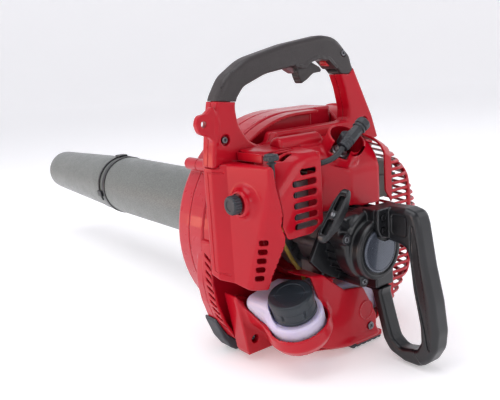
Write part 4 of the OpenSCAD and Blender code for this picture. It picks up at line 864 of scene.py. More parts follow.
def f_cylinder_cover(X, Y, Z):
    d = both(poly(cc_plan, X, Y), poly(cc_side, Y, Z), 4.0)
    d = both(d, Y - 99.3, 0.5)
    d = both(d, 34 - Z, 0.6)
    u, v, w = plug_frame(X, Y, Z)
    q = np.hypot(u, v)
    cowl = prism(q - 21.5, w, 12, 36, 0.4, 1.1)
    cowl = np.maximum(np.maximum(cowl, 70 - Z), Y - 99.3)
    d = join(d, cowl, 4.0)
    ridge = np.maximum(rod(Y, Z, X, 84, 107, 11, -67, -8, 3.5, 0.5), 106.6 - Z)
    d = join(d, ridge, 3.0)
    d = cut(d, np.maximum(poly(cc_plan_in, X, Y), poly(cc_side_in, Y, Z)), 0.3)
    d = cut(d, prism(q - 19, w, 9, 44, 0, 0), 0.8)
    d = cut(d, brick(X, Y, Z, (-26, 62, 70), (26, 96, 92), 1), 0.2)
    d = cut(d, brick(X, Y, Z, (-46, 50, 80), (-32, 66, 96), 3), 0.4)
    d = cut(d, brick(X, Y, Z, (-46, 60, 20), (-39.5, 104, 96), 1), 0.3)
    d = cut(d, brick(X, Y, Z, (49, 53, 20), (56, 104, 84), 1), 0.3)
    d = cut(d, np.maximum(np.hypot(X, Z) - 38.6, Y - 50.4), 0.4)
    d = cut(d, np.maximum(np.hypot(X - 28.64, Z - 28.64) - 6.6, Y - 50.4), 0.3)
    return cut(d, np.maximum(np.maximum(rect(u, v, -26, -8, -22, -2, 4), 22 - w), w - 44), 0.8)


solid("cylinder_shroud", f_cylinder_cover, (-68, 34, 33), (53, 100, 135), 1.15, M["red"], nodes=("cylinder_cover",))

# ---------------------------------------------------------------- slatted guard
guard_prof = rounded([[44, 40, 0.8], [104, 40, 4], [112, 43, 6], [116.5, 50, 8], [122, 70, 20], [128, 95, 20], [131, 122, 0.8], [128.4, 122, 0.8], [125.4, 95, 18], [119.4, 70, 18], [114, 51.5, 6], [110.5, 45.5, 5], [103, 42.5, 3], [44, 42.5, 0.8]], 5)
guard_xz = rounded([[45, 112, 4], [54.4, 90, 6], [55.2, 70, 6], [55.2, 45, 6], [66, 30, 8], [70, -30, 8], [50, -56, 8], [38.4, -64, 3], [38.4, -128, 0], [150, -128, 0], [150, 112, 4]], 4)


def f_guard(X, Y, Z):
    R = np.hypot(X, Z)
    d = poly(guard_prof, R, Y)
    o = poly(guard_xz, X, Z)
    d = both(d, o, 0.6)
    # raised band between the two groups of slat openings
    shell = poly(guard_prof, R, Y)
    band1 = np.maximum(shell - 1.0, rect(X, Y, 93.8, 97.2, 30, 62, 1))
    d = join(d, np.maximum(band1, o + 1), 0.8)
    c = Z - 4 - 2.3
    k = np.clip(np.round(c / 8.2), -11, 11)
    s = np.abs(c - 8.2 * k) - 2.3
    ga = rect(X, Y, 66, 92.6, 20, 60, 2)
    gb = rect(X, Y, 98.4, 150, 20, 116, 2)
    d = cut(d, both(s, np.minimum(ga, gb), 0.8), 0.8)
    k2 = np.where(Z > 0, np.clip(k, 9, 11), np.clip(k, -11, -8))
    s2 = np.abs(c - 8.2 * k2) - 2.3
    d = cut(d, both(s2, rect(X, Y, 64, 150, 58, 116, 2), 0.8), 0.8)
    return cut(d, np.maximum(np.maximum(99.3 - Y, 86 - Z), 40 - X), 0.4)


solid("engine_guard_slats", f_guard, (38, 39.5, -129), (132, 122.2, 112.5), 1.25, M["red"], nodes=("engine_guard",))


# ---------------------------------------------------------------- recoil starter
boss_at = [(40.5 * math.cos(math.radians(a)), 40.5 * math.sin(math.radians(a))) for a in (45, 160, 250, 320)]
root_at = [(0, 18), (0, 32)]
foot_out = rounded([[-44, 34, 5], [-14, 36, 3], [-14, 8, 3], [-40, 2, 5]], 5)
skirt_out = rounded([[-60, -12, 4], [-40, 21, 8], [-12, 34, 8], [-10, -44, 8], [-28, -37.2, 3], [-46, -26.2, 4]], 5)
flange_out = rounded([[-8, 41.4, 3], [31.5, 41.4, 3], [31.5, 14, 2], [24, 5.4, 5], [10, 7.8, 5], [-3, 10.6, 4], [-8.2, 20, 4]], 5)
flange_cut = rounded([[-8.4, 42, 3], [35, 42, 3], [35, 12, 2], [24.4, 4.4, 4], [6, 4.6, 2], [-3.4, 9.8, 4], [-8.6, 19.6, 4]], 5)


def f_starter(X, Y, Z):
    R, Rf = np.hypot(X, Z), np.hypot(X, Z + 4)
    d = prism(R - 38, Y, 12.5, 31, 4.0, 1.2)
    d = join(d, prism(R - 35.5, Y, 29, 49.9, 0, 0.4), 1.0)
    d = join(d, prism(Rf - 32.4, Y, 2.2, 15, 2.4, 0), 2.0)
    # raised rim round the badge
    d = join(d, prism(np.abs(Rf - 29.4) - 2.2, Y, 0.9, 6, 1.1), 0.6)
    d = join(d, prism(poly(foot_out, X, Z), Y, 18, 34, 3.0, 1.5), 3.0)
    u, v, w = rope_frame(X, Y, Z)
    d = join(d, rod(u, v, w, 0, 0, 5, -34, -7.9, 0.5, 1.2), 2.5)
    for x, z in boss_at:
        d = join(d, rod(X, Z, Y, x, z, 6, 11.5, 49.8, 1.2, 0.4), 2.5)
    d = np.minimum(d, prism(poly(skirt_out, X, Z), Y, 44.2, 49.9, 0.8))
    d = join(d, brick(X, Y, Z, (-6.6, 2.3, 14), (34, 20, 40), 1.8), 1.2)
    d = join(d, brick(X, Y, Z, (6, 12.7, -52), (34, 43.4, -30), 1.8), 1.2)
    # cooling ribs round the drum
    th = np.arctan2(Z, X)
    rib = np.maximum(np.abs(np.mod(th * 24 / (2 * math.pi), 1) - 0.5) * 2 * math.pi * R / 24 - 0.9, prism(R - 38.0, Y, 31, 47, 0.8))
    d = join(d, np.maximum(rib, 33 - R), 0.5)
    d = cut(d, prism(R - 34, Y, 16, 60, 1.0, 0), 0.4)
    d = cut(d, np.maximum(R - 26, np.maximum(9 - Y, Y - 18)), 0.3)
    d = cut(d, np.maximum(R - 4.03, Y - 10), 0.1)
    for x, z in boss_at:
        q = np.hypot(X - x, Z - z)
        d = cut(d, q - 2.1, 0)
        d = cut(d, np.maximum(q - 4, Y - 14), 0.4)
    for x, z in root_at:
        d = cut(d, np.maximum(np.hypot(X - x, Z - z) - 2.1, Y - 14), 0)
    return cut(d, np.maximum(np.hypot(u, v) - 2.4, w), 0.3)


solid("recoil_starter_case", f_starter, (-61, 0.5, -53), (53, 50.2, 50), 1.1, M["black"], nodes=("starter_housing",))


def f_badge(X, Y, Z):
    R = np.hypot(X, Z + 4.5)
    d = prism(R - 23.8, Y, 0.5, 2.2, 0.6, 0.1)
    d = cut(d, np.maximum(np.abs(R - 21.9) - 0.4, Y - 0.9), 0.1)
    d = cut(d, np.maximum(poly(flange_cut, X, Z), Y - 3), 0.2)
    return np.minimum(d, prism(np.hypot(X, Z) - 4, Y, 2, 23.5, 0.3))


solid("round_badge", f_badge, (-25, 0.2, -29), (25, 24, 20), 0.6, M["badge"], nodes=("starter_badge",))


def f_recoil_grip(X, Y, Z):
    u, v, w = rope_frame(X, Y, Z)
    c, s = math.cos(math.radians(-12)), math.sin(math.radians(-12))
    u, v = u * c + v * s, v * c - u * s
    d = both(poly(bar_side, u, w), poly(bar_plan, u, v), 2.4)
    dish = np.maximum(rect(u, v, -24, 24, -4.6, 4.6, 3), 3.4 - w)
    d = cut(d, dish, 0.8)
    for s in (-1, 1):
        d = cut(d, np.maximum(rect(u - s * 13.5, v, -8.5, 8.5, -3.6, 3.6, 2.4), -2.2 - w), 0.8)
    return cut(d, np.hypot(u, v) - 2.6, 0.3)


bar_side = rounded([[-31, 0, 2], [-27, -3, 4], [-11, -7, 4], [11, -7, 4], [27, -3, 4], [31, 0, 2], [31, 3, 2], [26, 6, 4], [-26, 6, 4], [-31, 3, 2]], 5)
bar_plan = rounded([[-31, -4, 3], [-12, -7.5, 8], [12, -7.5, 8], [31, -4, 3], [31, 4, 3], [12, 7.5, 8], [-12, 7.5, 8], [-31, 4, 3]], 5)
g_lo, g_hi = rope_frame.c - 34, rope_frame.c + 34
solid("recoil_bar", f_recoil_grip, g_lo, g_hi, 0.95, M["black"], "recoil_handle", ("recoil_grip",))


# knot that stops the rope inside the bar
def f_knot(X, Y, Z):
    u, v, w = rope_frame(X, Y, Z)
    a = np.hypot(np.hypot(u, v) - 1.6, w - 3.6) - 1.5
    b = np.hypot(np.hypot(u, w - 4.6) - 1.5, v) - 1.3
    return join(a, b, 0.6)


solid("rope_knot", f_knot, rope_frame.c - 9, rope_frame.c + 9, 0.42, M["knot"], "recoil_handle")

rope_pts = [rope_frame.out((0, 0, w)) for w in np.linspace(-36, 3, 28)]
rope = sweep("starter_rope", rope_pts, lambda s, t: 1.52 + 0.08 * math.sin(s * 4.2), M["rope"], 20, fine=2)
tuple((rope_frame.out((0, 0, -29)) + org) / 1000)
tuple((rope_frame.out((0, 0, -8)) + org) / 1000)
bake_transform(rope)
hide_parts("recoil_rope")

# ---------------------------------------------------------------- fuel tank
tank_out = rounded([[-115, -50, 10], [-103, -78, 18], [-70, -108, 24], [-20, -115, 14], [56, -92, 20], [78, -74, 14], [80, -62, 6], [40, -51.6, 6], [-36, -50.8, 4], [-52, -44, 3], [-66, -40, 4]], 6)
tank_in = rounded([[-112, -52, 8], [-100, -77, 16], [-69, -105, 22], [-20, -112, 12], [55, -88.8, 18], [74.8, -72.6, 12], [76.8, -64.6, 5], [39.5, -54.6, 5], [-35.5, -53.8, 3], [-51, -47, 3], [-64, -43, 3]], 6)


def f_tank(X, Y, Z):
    u, v, w = cap_frame(X, Y, Z)
    q = np.hypot(u, v)
    o = poly(tank_out, X, Z)
    d = prism(o, Y, 47, 98, 7, 7)
    d = join(d, prism(q - 29.5, w, -30, -3, 4, 2.5), 8.0)
    # moulding seam round the middle of the tank
    d = join(d, np.maximum(prism(o - 0.35, Y, 71.6, 73.4, 0.3), 38 - q), 0.3)
    d = cut(d, np.maximum(q - 25.4, -2.9 - w), 1.2)
    d = join(d, rod(u, v, w, 0, 0, 18, -5, 9, 0, 0.6), 1.0)
    i1 = cut(prism(poly(tank_in, X, Z), Y, 50, 95, 5, 5), np.maximum(q - 28.4, -5.9 - w))
    d = cut(d, i1, 0)
    d = cut(d, prism(q - 26.6, w, -27, -6.4, 2, 2), 0)
    return cut(d, np.maximum(q - 15.5, -8 - w), 0.4)


solid("fuel_tank_blown", f_tank, (-125, 10, -118), (82, 99, -34), 1.4, M["tank"], nodes=("fuel_tank",))

cap_prof = rounded([(18.1, -2.5, 0.4), (24, -2.5, 1.0), (24, 1.7, 0.8), (23.4, 2.3, 0.3), (23.4, 10.6, 0.4), (23.0, 11.1, 0.3), (23.9, 12.0, 0.6), (23.6, 20.4, 1.8), (21.6, 21.5, 0.9), (15.8, 21.5, 0.4), (15.2, 20.9, 0.3), (0, 20.8, 0),
                    (0, 12, 0), (18.1, 12, 0.3)], 5)
fine_cap = []
for i in range(len(cap_prof)):
    a, b = cap_prof[i], cap_prof[(i + 1) % len(cap_prof)]
    k = max(1, int(abs(b[1] - a[1]) / 1.3)) if a[0] > 22.5 and b[0] > 22.5 else 1
    fine_cap += [a + (b - a) * j / k for j in range(k)]


def cap_ribs(a, r, z):
    ph = np.mod(a * 6 / (2 * math.pi), 1)
    g = np.clip((np.abs(ph - 0.5) - 0.425) / 0.05, 0, 1)
    zone = np.clip((z - 2.4) / 1.0, 0, 1) * np.clip((11.2 - z) / 1.0, 0, 1)
    return np.where(r > 22, -1.8 * g * g * (3 - 2 * g) * zone, 0)


lathe("fuel_cap_turned", fine_cap, M["cap"], lambda v: cap_frame.out(v), 288, "cap", ("fuel_cap",), wave=cap_ribs)

fuel_pts = [[-30, 90, -49.4], [-32, 91, -42], [-45, 94, -20], [-58, 92, 5], [-59, 87, 18], [-54.5, 77, 27], [-52.4, 73, 33.4]]
sweep("fuel_hose_piece", fuel_pts, 2.4, M["line"], 18, "machine", ("fuel_line",), fine=5)

# ---------------------------------------------------------------- tank guard
wedge = rounded([[-121, -43, 3], [-113, -56, 4], [-78, -97, 6], [-58, -121, 2], [-107, -120, 4]], 5)
wedge_in = rounded([[-117.6, -50, 1], [-111, -61, 2], [-80, -98, 4], [-63, -118.5, 1], [-104.5, -117.5, 2]], 3)
bowl_out = rounded([[0, -14, 0], [32.2, -14, 0.5], [34.8, -16, 2], [35.6, -28, 6], [30.4, -38, 8], [18, -46, 6], [0, -46, 0], [-20, -46, 0], [-20, -14, 0]], 5)
bowl_in = rounded([[0, 0, 0], [32.4, 0, 0], [32.4, -16, 2], [33.2, -28, 5], [28.0, -35.6, 7], [18, -43.6, 5], [-20, -43.6, 0], [-20, 0, 0]], 5)
guard_front = rounded([[-68, -25, 3], [-46, -29, 8], [-29, -43, 8], [-15, -54, 6], [14, -58, 8], [24, -76, 10], [35, -97, 6], [35, -120, 2], [-10, -119.5, 8], [-36, -117, 8], [-66, -106, 10], [-80, -84, 4], [-74, -50, 2]], 6)
guard_floor = [[-106.5, 100.5], [-64, 100.5], [-60, 68], [-54, 57], [-32, 47], [-10, 41], [38, 41], [38, 121.8], [-106.5, 121.8]]
skin_yz = [[102, -57], [66, -80], [56, -84], [56, -122], [102, -122]]


def f_tank_guard(X, Y, Z):
    u, v, w = cap_frame(X, Y, Z)
    q = np.hypot(u, v)
    o = poly(tank_out, X, Z)
    d = prism(poly(wedge, X, Z), Y, 100, 122, 2.2, 0.4)
    d = cut(d, prism(poly(wedge_in, X, Z), Y, 102.4, 130, 0.6, 0), 0.3)
    d = np.minimum(d, rod(X, Z, Y, -97, -104, 7, 101, 122, 0.6))
    skin = np.maximum(np.maximum(np.abs(o - 2.0) - 1.2, slab(Y, 60, 101)), poly(skin_yz, Y, Z))
    d = join(d, skin, 7.0)
    bowl = np.maximum(poly(bowl_out, q, w), -poly(bowl_in, q, w))
    d = join(d, bowl, 8.0)
    d = np.minimum(d, both(poly(guard_floor, X, Y), slab(Z, -121, -118.6), 0.5))
    front = prism(poly(guard_front, X, Z), Y, 40, 43.2, 1.5, 0.3)
    d = join(d, front, 9.0)
    fl = np.maximum(path2([[-68, -26.2], [-47, -30], [-31, -39.4]], X, Z) - 1.1, slab(Y, 42, 72))
    f2 = np.maximum(path2([[-32, -39], [-10, -42.6], [42, -43.4]], X, Z) - 1.1, slab(Y, 50.3, 72))
    d = join(d, np.minimum(fl, f2), 0.8)
    d = join(d, brick(X, Y, Z, (2, 40, -125.2), (44, 70, -118.8), 1.2), 0.8)
    # raised ring that the bare round pad sits in
    pad = np.hypot(X - 18, Z + 87)
    d = join(d, prism(np.abs(pad - 10.6) - 0.7, Y, 39.4, 42, 0.5), 0.6)
    d = cut(d, rod(X, Z, Y, -97, -104, 4.8, 96, 109, 0), 0.8)
    d = cut(d, np.maximum(np.hypot(X + 97, Z + 104) - 2.1, 105 - Y), 0)
    d = cut(d, np.maximum(np.hypot(X - 24, Z + 108) - 2.6, Y - 45), 0.3)
    d = cut(d, np.maximum(q - 30.0, -40 - w), 1.0)
    return cut(d, prism(o - 0.4, Y, 46.6, 98.4, 0), 0.2)


solid("tank_guard_shell", f_tank_guard, (-125, 10, -126), (45, 122.2, -22), 1.25, M["red"], nodes=("tank_guard",))

# ---------------------------------------------------------------- rubber feet
bumper = rounded([[-124.4, -82, 1], [-125.6, -86, 2], [-115.8, -110, 8], [-106.5, -123.5, 4], [-100, -128, 2], [-93, -128.5, 1], [-88, -119, 1]], 5)
SC0_wide = scroll_poly(0.2)


def f_feet(X, Y, Z):
    d = brick(X, Y, Z, (-2, 43, -130), (46, 71, -125.2), 1.2)
    for i in range(5):
        d = cut(d, np.maximum(np.abs(X - 4 - 9 * i) - 1.0, Z + 129.2), 0.3)
    b = prism(poly(bumper, X, Z), Y, 135, 157, 1.5, 1.5)
    b = cut(b, np.maximum(np.minimum(poly(SC0_wide, X, Z), poly(base_corner, X, Z) - 0.2), Y - 140.1), 0.2)
    b = cut(b, np.maximum(poly(skirt, X, Z) - 0.2, Y - 154.3), 0.2)
    b = cut(b, np.maximum(poly(SC0_wide, X, Z), 139 - Y), 0.2)
    d = np.minimum(d, b)
    for q in (-1, 1):
        f = prism(poly(rounded([[q * 34, -112, 1], [q * 34, -130, 3], [q * 78, -130, 3], [q * 84, -96, 1]]), X, Z), Y, 152, 194, 1.5)
        f = cut(f, np.maximum(poly(SC0_wide, X, Z), np.maximum(140 - Y, Y - 200)), 0.2)
        for x, z in bosses:
            f = cut(f, np.hypot(X - x, Z - z) - 7.3, 0.2)
        for i in range(4):
            f = cut(f, np.maximum(np.abs(X - q * (44 + 9 * i)) - 1.0, Z + 129.2), 0.3)
        d = np.minimum(d, f)
    return d


solid("feet_rubber", f_feet, (-134, 42, -130), (84, 195, -61), 1.5, M["rubber"], nodes=("rubber_feet",))

# ---------------------------------------------------------------- support handle
sup_out = rounded([[1.8, 6, 2], [1.8, 41, 3], [-24, 42, 8], [-37, 39, 10], [-41, 27, 10], [-49, -16, 60], [-58, -52, 60], [-62.5, -84, 30], [-60.5, -103, 20], [-52, -117.5, 14], [-40, -127, 14], [-20, -127.5, 14], [0, -121.5, 14],
                   [9, -110, 14], [18, -80, 20], [25, -57, 3], [40, -57, 2], [40, -52.3, 0], [1.8, -52.3, 0]], 6)
sup_in = rounded([[-15, 4, 6], [-25, 1, 8], [-28.5, -10, 20], [-33, -42, 60], [-41.5, -80, 40], [-42.5, -98, 8], [-37, -109, 8], [-14, -114, 12], [-3, -106, 12], [3, -88, 30], [12, -58, 10], [10, -53, 1], [1.8, -52.3, 0], [1.8, 5.8, 0]], 5)
sup_wide = [[-100, 80], [60, 80], [60, 0], [-20, 0], [-22, -40], [-33, -112], [-60, -140], [-100, -140]]


groove_line = [(-33, 24), (-37, -14), (-43, -48), (-50, -82), (-53, -102)]


def f_support(X, Y, Z):
    o, i = poly(sup_out, Y, Z), poly(sup_in, Y, Z)
    h = np.abs(X - 20)
    a = both(both(o, h - 12, 6.0), both(-i, h - 12, 5.0), 0.5)
    b = both(both(o, h - 10, 4.0), both(-i, h - 10, 4.0), 0.5)
    a = both(a, poly(sup_wide, Y, Z), 1.5)
    d = join(a, b, 2.0)
    # root plate that lies over the badge
    d = join(d, prism(poly(flange_out, X, Z), Y, -4, 1.8, 1.4, 0.2), 1.6)
    t = np.clip((24 - Z) / 124, 0, 1)
    g = path2(groove_line, Y, Z) - (1.5 + 3.4 * np.sin(math.pi * t ** 0.7))
    d = cut(d, np.maximum(g, 10.0 - h), 1.2)
    # shallow panel on the top arm
    pan = rect(Y, Z, -27, -7, 13, 35, 4.5)
    d = cut(d, np.maximum(pan, 11.1 - h), 0.8)
    for x, z in root_at:
        q = np.hypot(X - x, Z - z)
        d = cut(d, np.maximum(q - 2.3, Y - 3), 0)
        d = cut(d, np.maximum(q - 4.2, Y + 2.6), 0.5)
    return both(d, Y - 40, 0.3)


solid("support_handle_moulded", f_support, (-9, -63.5, -128.5), (32.5, 41, 43), 1.1, M["black"], nodes=("support_handle",))

# ---------------------------------------------------------------- outlet and inlet collars
oy, oz = 168, 92


def f_outlet(X, Y, Z):
    q = np.hypot(Y - oy, Z - oz)
    d = prism(q - 45, X, 72, 77, 0.4, 0.8)
    d = join(d, prism(q - 43, X, 74, 130, 0, 1.0), 1.0)
    d = join(d, prism(q - 45, X, 104, 108, 0.8), 0.6)
    for a in (45, 225):
        c, s = math.cos(math.radians(a)), math.sin(math.radians(a))
        u, v = (Y - oy) * c + (Z - oz) * s, -(Y - oy) * s + (Z - oz) * c
        d = join(d, np.maximum(rect(u, X, -4, 4, 104.6, 107.4, 1), np.abs(v - 44.5) - 3.5), 0.6)
    d = cut(d, np.maximum(q - 40, 78 - X), 0.6)
    return cut(d, np.maximum(rect(Y, Z, 144, 192, oz - 33, oz + 33, 2), X - 79), 0.3)


solid("blow_outlet_collar", f_outlet, (71, 121, 43), (130.5, 215, 141), 1.4, M["red"], nodes=("outlet_collar",))

lathe("inlet_collar_turned", rounded([(46, 196, 0.5), (60, 196, 0.8), (60, 200, 1.2), (55.4, 200.2, 1.0), (54, 202, 0.5), (54, 222, 1.2), (47.9, 222, 0.6), (47.9, 202, 0.1), (46, 202, 0.2)], 4),
      M["black"], about_y(), 144, "machine", ("inlet_collar",),
      wave=lambda a, r, y: np.where((r > 53.5) & (r < 54.6) & (y > 203) & (y < 221), 0.5 * np.clip(np.cos(36 * a) * 2, 0, 1), 0))

# ---------------------------------------------------------------- suction tube
tr = 47.8
near_pts = [(tr - 2, 202), (tr, 202)] + [(tr, y) for y in np.arange(214, 566, 12)] + [(tr, 570), (tr - 2, 570)]
lathe("suction_tube_near_section", near_pts, M["tube"], about_y(), 144, "machine", ("suction_tube_near",))
far = [(tr - 4.4, 542), (tr - 2.2, 542), (tr - 2.2, 575), (tr - 0.6, 575.2), (tr - 0.6, 608), (tr - 1.6, 609)]
far += [(tr - 1.6 + (37 - tr + 1.6) * t, 609 + (844 - 609) * t) for t in np.linspace(0.06, 0.97, 20)]
far += [(36.7, 843.4), (36.1, 844), (35.3, 844), (34.8, 843.4), (tr - 3.8, 608), (tr - 4.4, 575)]
lathe("suction_tube_far_section", far, M["tube"], about_y(), 144, "machine", ("suction_tube_far",))
lathe("joint_ring_near", rounded([(tr + 0.05, 565, 0.1), (tr + 1.2, 565, 0.5), (tr + 1.2, 574.9, 0.5), (tr - 2.1, 574.9, 0.2), (tr - 2.1, 570.05, 0.2), (tr + 0.05, 570.05, 0.1)], 3),
      M["black"], about_y(), 144, "machine", ("tube_joint_ring",))


side_block = Local([0, 0, 0], turn("Y", -100))


def f_lock(X, Y, Z):
    q = np.hypot(X, Z)
    d = both(np.abs(q - tr - 0.45) - 0.95, slab(Y, 584, 589), 0.5)
    d = join(d, brick(X, Y, Z, (-8, 578, tr - 0.4), (8, 594, tr + 3.5), 1.0), 0.8)
    u, v, w = side_block(X, Y, Z)
    d = join(d, brick(u, v, w, (-5, 575, tr - 0.4), (5, 589, tr + 4), 1.0), 0.8)
    d = cut(d, brick(X, Y, Z, (-80, 580, -80), (80, 592, -22), 0.5), 0.3)
    return cut(d, q - (tr - 0.5), 0)


solid("tube_band_clip", f_lock, (-53, 573.5, -23), (53, 594.5, 52), 1.0, M["black"], nodes=("tube_lock_band",))


# ---------------------------------------------------------------- ignition lead and plug
def ngon(u, v, r, n):
    """Regular prism of n sides with inner radius r cos(pi / n)."""
    k = math.cos(math.pi / n)
    return np.max(np.stack(np.broadcast_arrays(*[u * math.cos((2 * i + 1) * math.pi / n) + v * math.sin((2 * i + 1) * math.pi / n) - r * k for i in range(n)])), axis=0)


boot_axis = aim([-12, 39, 104], [34, 0, 23])
boot_len = math.sqrt(34 ** 2 + 1 + 23 ** 2)


def f_boot(X, Y, Z):
    u, v, w = plug_frame(X, Y, Z)
    d = rod(u, v, w, 0, 0, 8.4, 26, 40, 1.0, 3.0)
    a, b, c = boot_axis(X, Y, Z)
    q = ngon(a, b, 6.5, 8)
    d = join(d, both(prism(q, c, 0, boot_len - 7, 1.2, 0.4), q, 0.6), 4.0)
    for i in range(3):
        d = join(d, prism(ngon(a, b, 7.0, 8), c, 2.5 + 4 * i, 4.3 + 4 * i, 0.5), 0.4)
    d = join(d, prism(ngon(a, b, 8.2, 8), c, boot_len - 8, boot_len, 1.4, 1.6), 1.0)
    d = join(d, prism(ngon(a, b, 7.9, 8), c, boot_len - 12, boot_len - 9.4, 0.6), 0.6)
    d = cut(d, np.maximum(np.hypot(u, v) - 5.02, w - 34), 0.3)
    return cut(d, np.maximum(np.hypot(u, v) - 2.85, w - 38.05), 0)


solid("spark_boot_elbow", f_boot, (-19, 30, 96), (28, 62, 135), 0.8, M["boot"], nodes=("plug_boot",))

lead_pts = [[-12.5, 39, 103.7], [-17, 39, 99.5], [-24, 39, 95.4], [-32, 42, 92], [-40, 47.4, 89.8], [-46.5, 54.5, 88], [-49.5, 63, 86.5], [-48.5, 72, 84.5], [-44.5, 82, 81], [-40, 92, 77], [-36, 100, 73], [-29, 104, 69], [-22, 106, 66.4]]
sweep("ignition_lead_run", lead_pts, 3, M["lead"], 24, "machine", ("plug_lead",), fine=5)

to_plug = lambda v: plug_frame.out(v)
lathe("plug_metal", rounded([(0, -1.4, 0), (6.9, -1.4, 0.3), (6.9, 10, 0), (9.2, 10, 0.4), (9.2, 17, 0.5), (7, 17, 0.1), (7, 20, 0.3), (4.9, 20, 0), (2.7, 33.9, 0), (2.7, 37.9, 0.4), (0, 37.9, 0)], 3), M["steel"], to_plug, 72, "machine", ("spark_plug",))
lathe("plug_insulator", rounded([(0, 19.9, 0), (5, 19.9, 0.2), (5, 33.9, 0.8), (0, 33.9, 0)], 3), M["ceramic"], to_plug, 64, "machine", ())


# ---------------------------------------------------------------- screws
def screw_shape(x, z, y, head, sink, length, shank, key="cross"):
    def f(X, Y, Z):
        u, v = X - x, Z - z
        d = rod(X, Z, Y, x, z, head, y, y + sink, 0.5, 0.2)
        if key == "cross":
            a, b = (u + v) * 0.7071, (u - v) * 0.7071
            k = np.minimum(rect(a, b, -head * 0.6, head * 0.6, -0.5, 0.5, 0.2), rect(b, a, -head * 0.6, head * 0.6, -0.5, 0.5, 0.2))
            d = cut(d, np.maximum(k, Y - y - sink * 0.55), 0.15)
        else:
            d = cut(d, np.maximum(ngon(u, v, head * 0.52, 6), Y - y - sink * 0.6), 0.15)
        return np.minimum(d, rod(X, Z, Y, x, z, shank, y + sink * 0.8, y + length, 0.2, 0.4))
    return f, (x - head - 0.3, y - 0.3, z - head - 0.3), (x + head + 0.3, y + length + 0.3, z + head + 0.3)


def screws(prefix, items, mat, node):
    first = True
    for i, it in enumerate(items):
        f, lo, hi = screw_shape(*it)
        solid(f"{prefix}_{i + 1}", f, lo, hi, 0.42, mat, "machine", (node,) if first and node else ())
        first = False


screws("clamp_screw", [(-118, 121, 101.2, 3.4, 2.8, 18, 1.95, "hex"), (88, 118, 101.2, 3.4, 2.8, 18, 1.95, "hex"), (56, 200, 99.7, 3.4, 2.8, 18, 1.95), (-97, -104, 105.2, 3.4, 2.8, 16.4, 1.95),
                       (24, -108, 38.2, 4.6, 1.9, 7.8, 2.5)], M["screw"], "case_screws")
screws("starter_screw", [(x, z, 11.2, 3.6, 2.7, 38.3, 2.03) for x, z in boss_at] , M["screw"], "starter_screws")
screws("root_screw", [(x, z, -5.4, 3.8, 2.8, 14.2, 2.03, "hex") for x, z in root_at], M["dark_screw"], "")


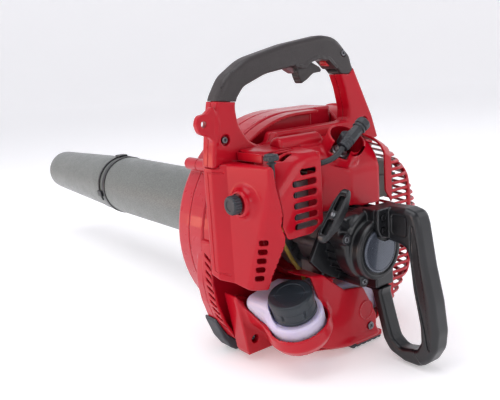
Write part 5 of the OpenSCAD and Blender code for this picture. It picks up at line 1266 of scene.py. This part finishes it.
# ---------------------------------------------------------------- camera, light and floor
def scene_setup():
    sc = bpy.context.scene
    sc.view_settings.view_transform = "Standard"
    cam = bpy.data.objects.new("camera", bpy.data.cameras.new("camera"))
    sc.collection.objects.link(cam)
    right, up, fwd = (0.78961, -0.61027, -0.06401), (0.18180, 0.13303, 0.97430), (0.58606, 0.78095, -0.21598)
    m = Matrix.Identity(4)
    for i in range(3):
        m[i][0], m[i][1], m[i][2] = right[i], up[i], -fwd[i]
        m[i][3] = P(-496.08, -438.19, 202.59)[i]
    cam.matrix_world = m
    cam.data.sensor_fit = "HORIZONTAL"
    cam.data.sensor_width = 36
    cam.data.lens = 645.93 / 500 * 36
    cam.data.clip_start, cam.data.clip_end = 0.01, 30
    sc.camera = cam

    def area(name, loc, target, size, power, colour=(1, 1, 1), size_y=None, spread=180):
        d = bpy.data.lights.new(name, "AREA")
        d.energy, d.color, d.size = power, colour, size
        d.spread = math.radians(spread)
        if size_y:
            d.shape, d.size_y = "RECTANGLE", size_y
        o = bpy.data.objects.new(name, d)
        sc.collection.objects.link(o)
        o.location = loc
        o.rotation_mode = "QUATERNION"
        o.rotation_quaternion = (Vector(target) - Vector(loc)).to_track_quat("-Z", "Y")
        return o

    mid = (0, -0.3, 0.15)
    area("sky_panel", (-0.5, -0.2, 2.2), mid, 2.0, 30, (0.95, 0.97, 1.0))
    area("left_panel", (-2.3, 0.5, 0.9), mid, 0.8, 9, (1.0, 0.92, 0.98), 1.6)
    area("front_panel", (0.2, -2.6, 1.0), mid, 1.2, 6.5, (1.0, 1.0, 1.0), 0.9)
    area("right_panel", (2.3, -0.9, 0.9), mid, 1.2, 7, (0.95, 0.97, 1.0), 1.0)
    area("warm_strip", (-1.5, 0.55, 0.14), (-0.1, -0.3, 0.12), 1.6, 5, (1.0, 0.5, 0.28), 0.2)
    w = bpy.data.worlds.new("studio")
    sc.world = w
    w.use_nodes = True
    w.node_tree.nodes["Background"].inputs[0].default_value = (0.88, 0.86, 1.0, 1)
    w.node_tree.nodes["Background"].inputs[1].default_value = 0.3
    fm = bpy.data.materials.new("floor_pale")
    fm.use_nodes = True
    fm.node_tree.nodes["Principled BSDF"].inputs["Base Color"].default_value = (0.93, 0.93, 0.935, 1)
    fm.node_tree.nodes["Principled BSDF"].inputs["Roughness"].default_value = 0.75
    b = fm.node_tree.nodes["Principled BSDF"]
    b.inputs["Emission Color"].default_value = (1.0, 1.0, 1.0, 1)
    b.inputs["Emission Strength"].default_value = 0.27
    # round floor that rolls up into a plain backdrop far from the machine
    me = bpy.data.meshes.new("floor")
    prof = [(5.0, 0.0)] + [(5.0 + 2.0 * math.sin(t), 2.0 - 2.0 * math.cos(t)) for t in np.linspace(0.06, math.pi / 2, 16)] + [(7.0, 6.0)]
    seg = 96
    vs, fs = [(0.0, 0.0, -0.0002)], []
    for k, (p, z) in enumerate(prof):
        for q in range(seg):
            g = 2 * math.pi * q / seg
            vs.append((p * math.cos(g), p * math.sin(g), z - 0.0002))
            a, b = 1 + k * seg + q, 1 + k * seg + (q + 1) % seg
            fs.append((0, a, b) if k == 0 else (a - seg, a, b, b - seg))
    me.from_pydata(vs, [], fs)
    for pl in me.polygons:
        pl.use_smooth = True
    fl = bpy.data.objects.new("floor", me)
    sc.collection.objects.link(fl)
    me.materials.append(fm)


scene_setup()

# ---------------------------------------------------------------- CAD nodes that stay, in better materials
node_mat = {}
for names, key in ((("crankcase_front", "crankcase_rear", "engine_cylinder", "piston", "flywheel", "carburettor"), "cast"),
                   (("crank_front", "crank_rear", "ball_bearings", "conrod", "crank_pin", "wrist_pin", "impeller_nut", "starter_cup", "recoil_spring", "choke_plate"), "steel"),
                   (("muffler",), "muffler"), (("shaft_seals",), "black_matt"), (("impeller", "starter_pulley"), "nylon"), (("ignition_coil",), "black_matt"),
                   (("throttle_valve",), "brass"), (("air_filter",), "foam")):
    for n in names:
        node_mat[n] = M[key]
left = []
for n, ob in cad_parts.items():
    if ob.hide_render:
        continue
    if n not in node_mat:
        left.append(n)
    mat = node_mat.get(n, M["red_in"])
    if not ob.material_slots:
        ob.data.materials.append(mat)
    for s in ob.material_slots:
        s.material = mat
print("CAD nodes shown without their own finish:", left)
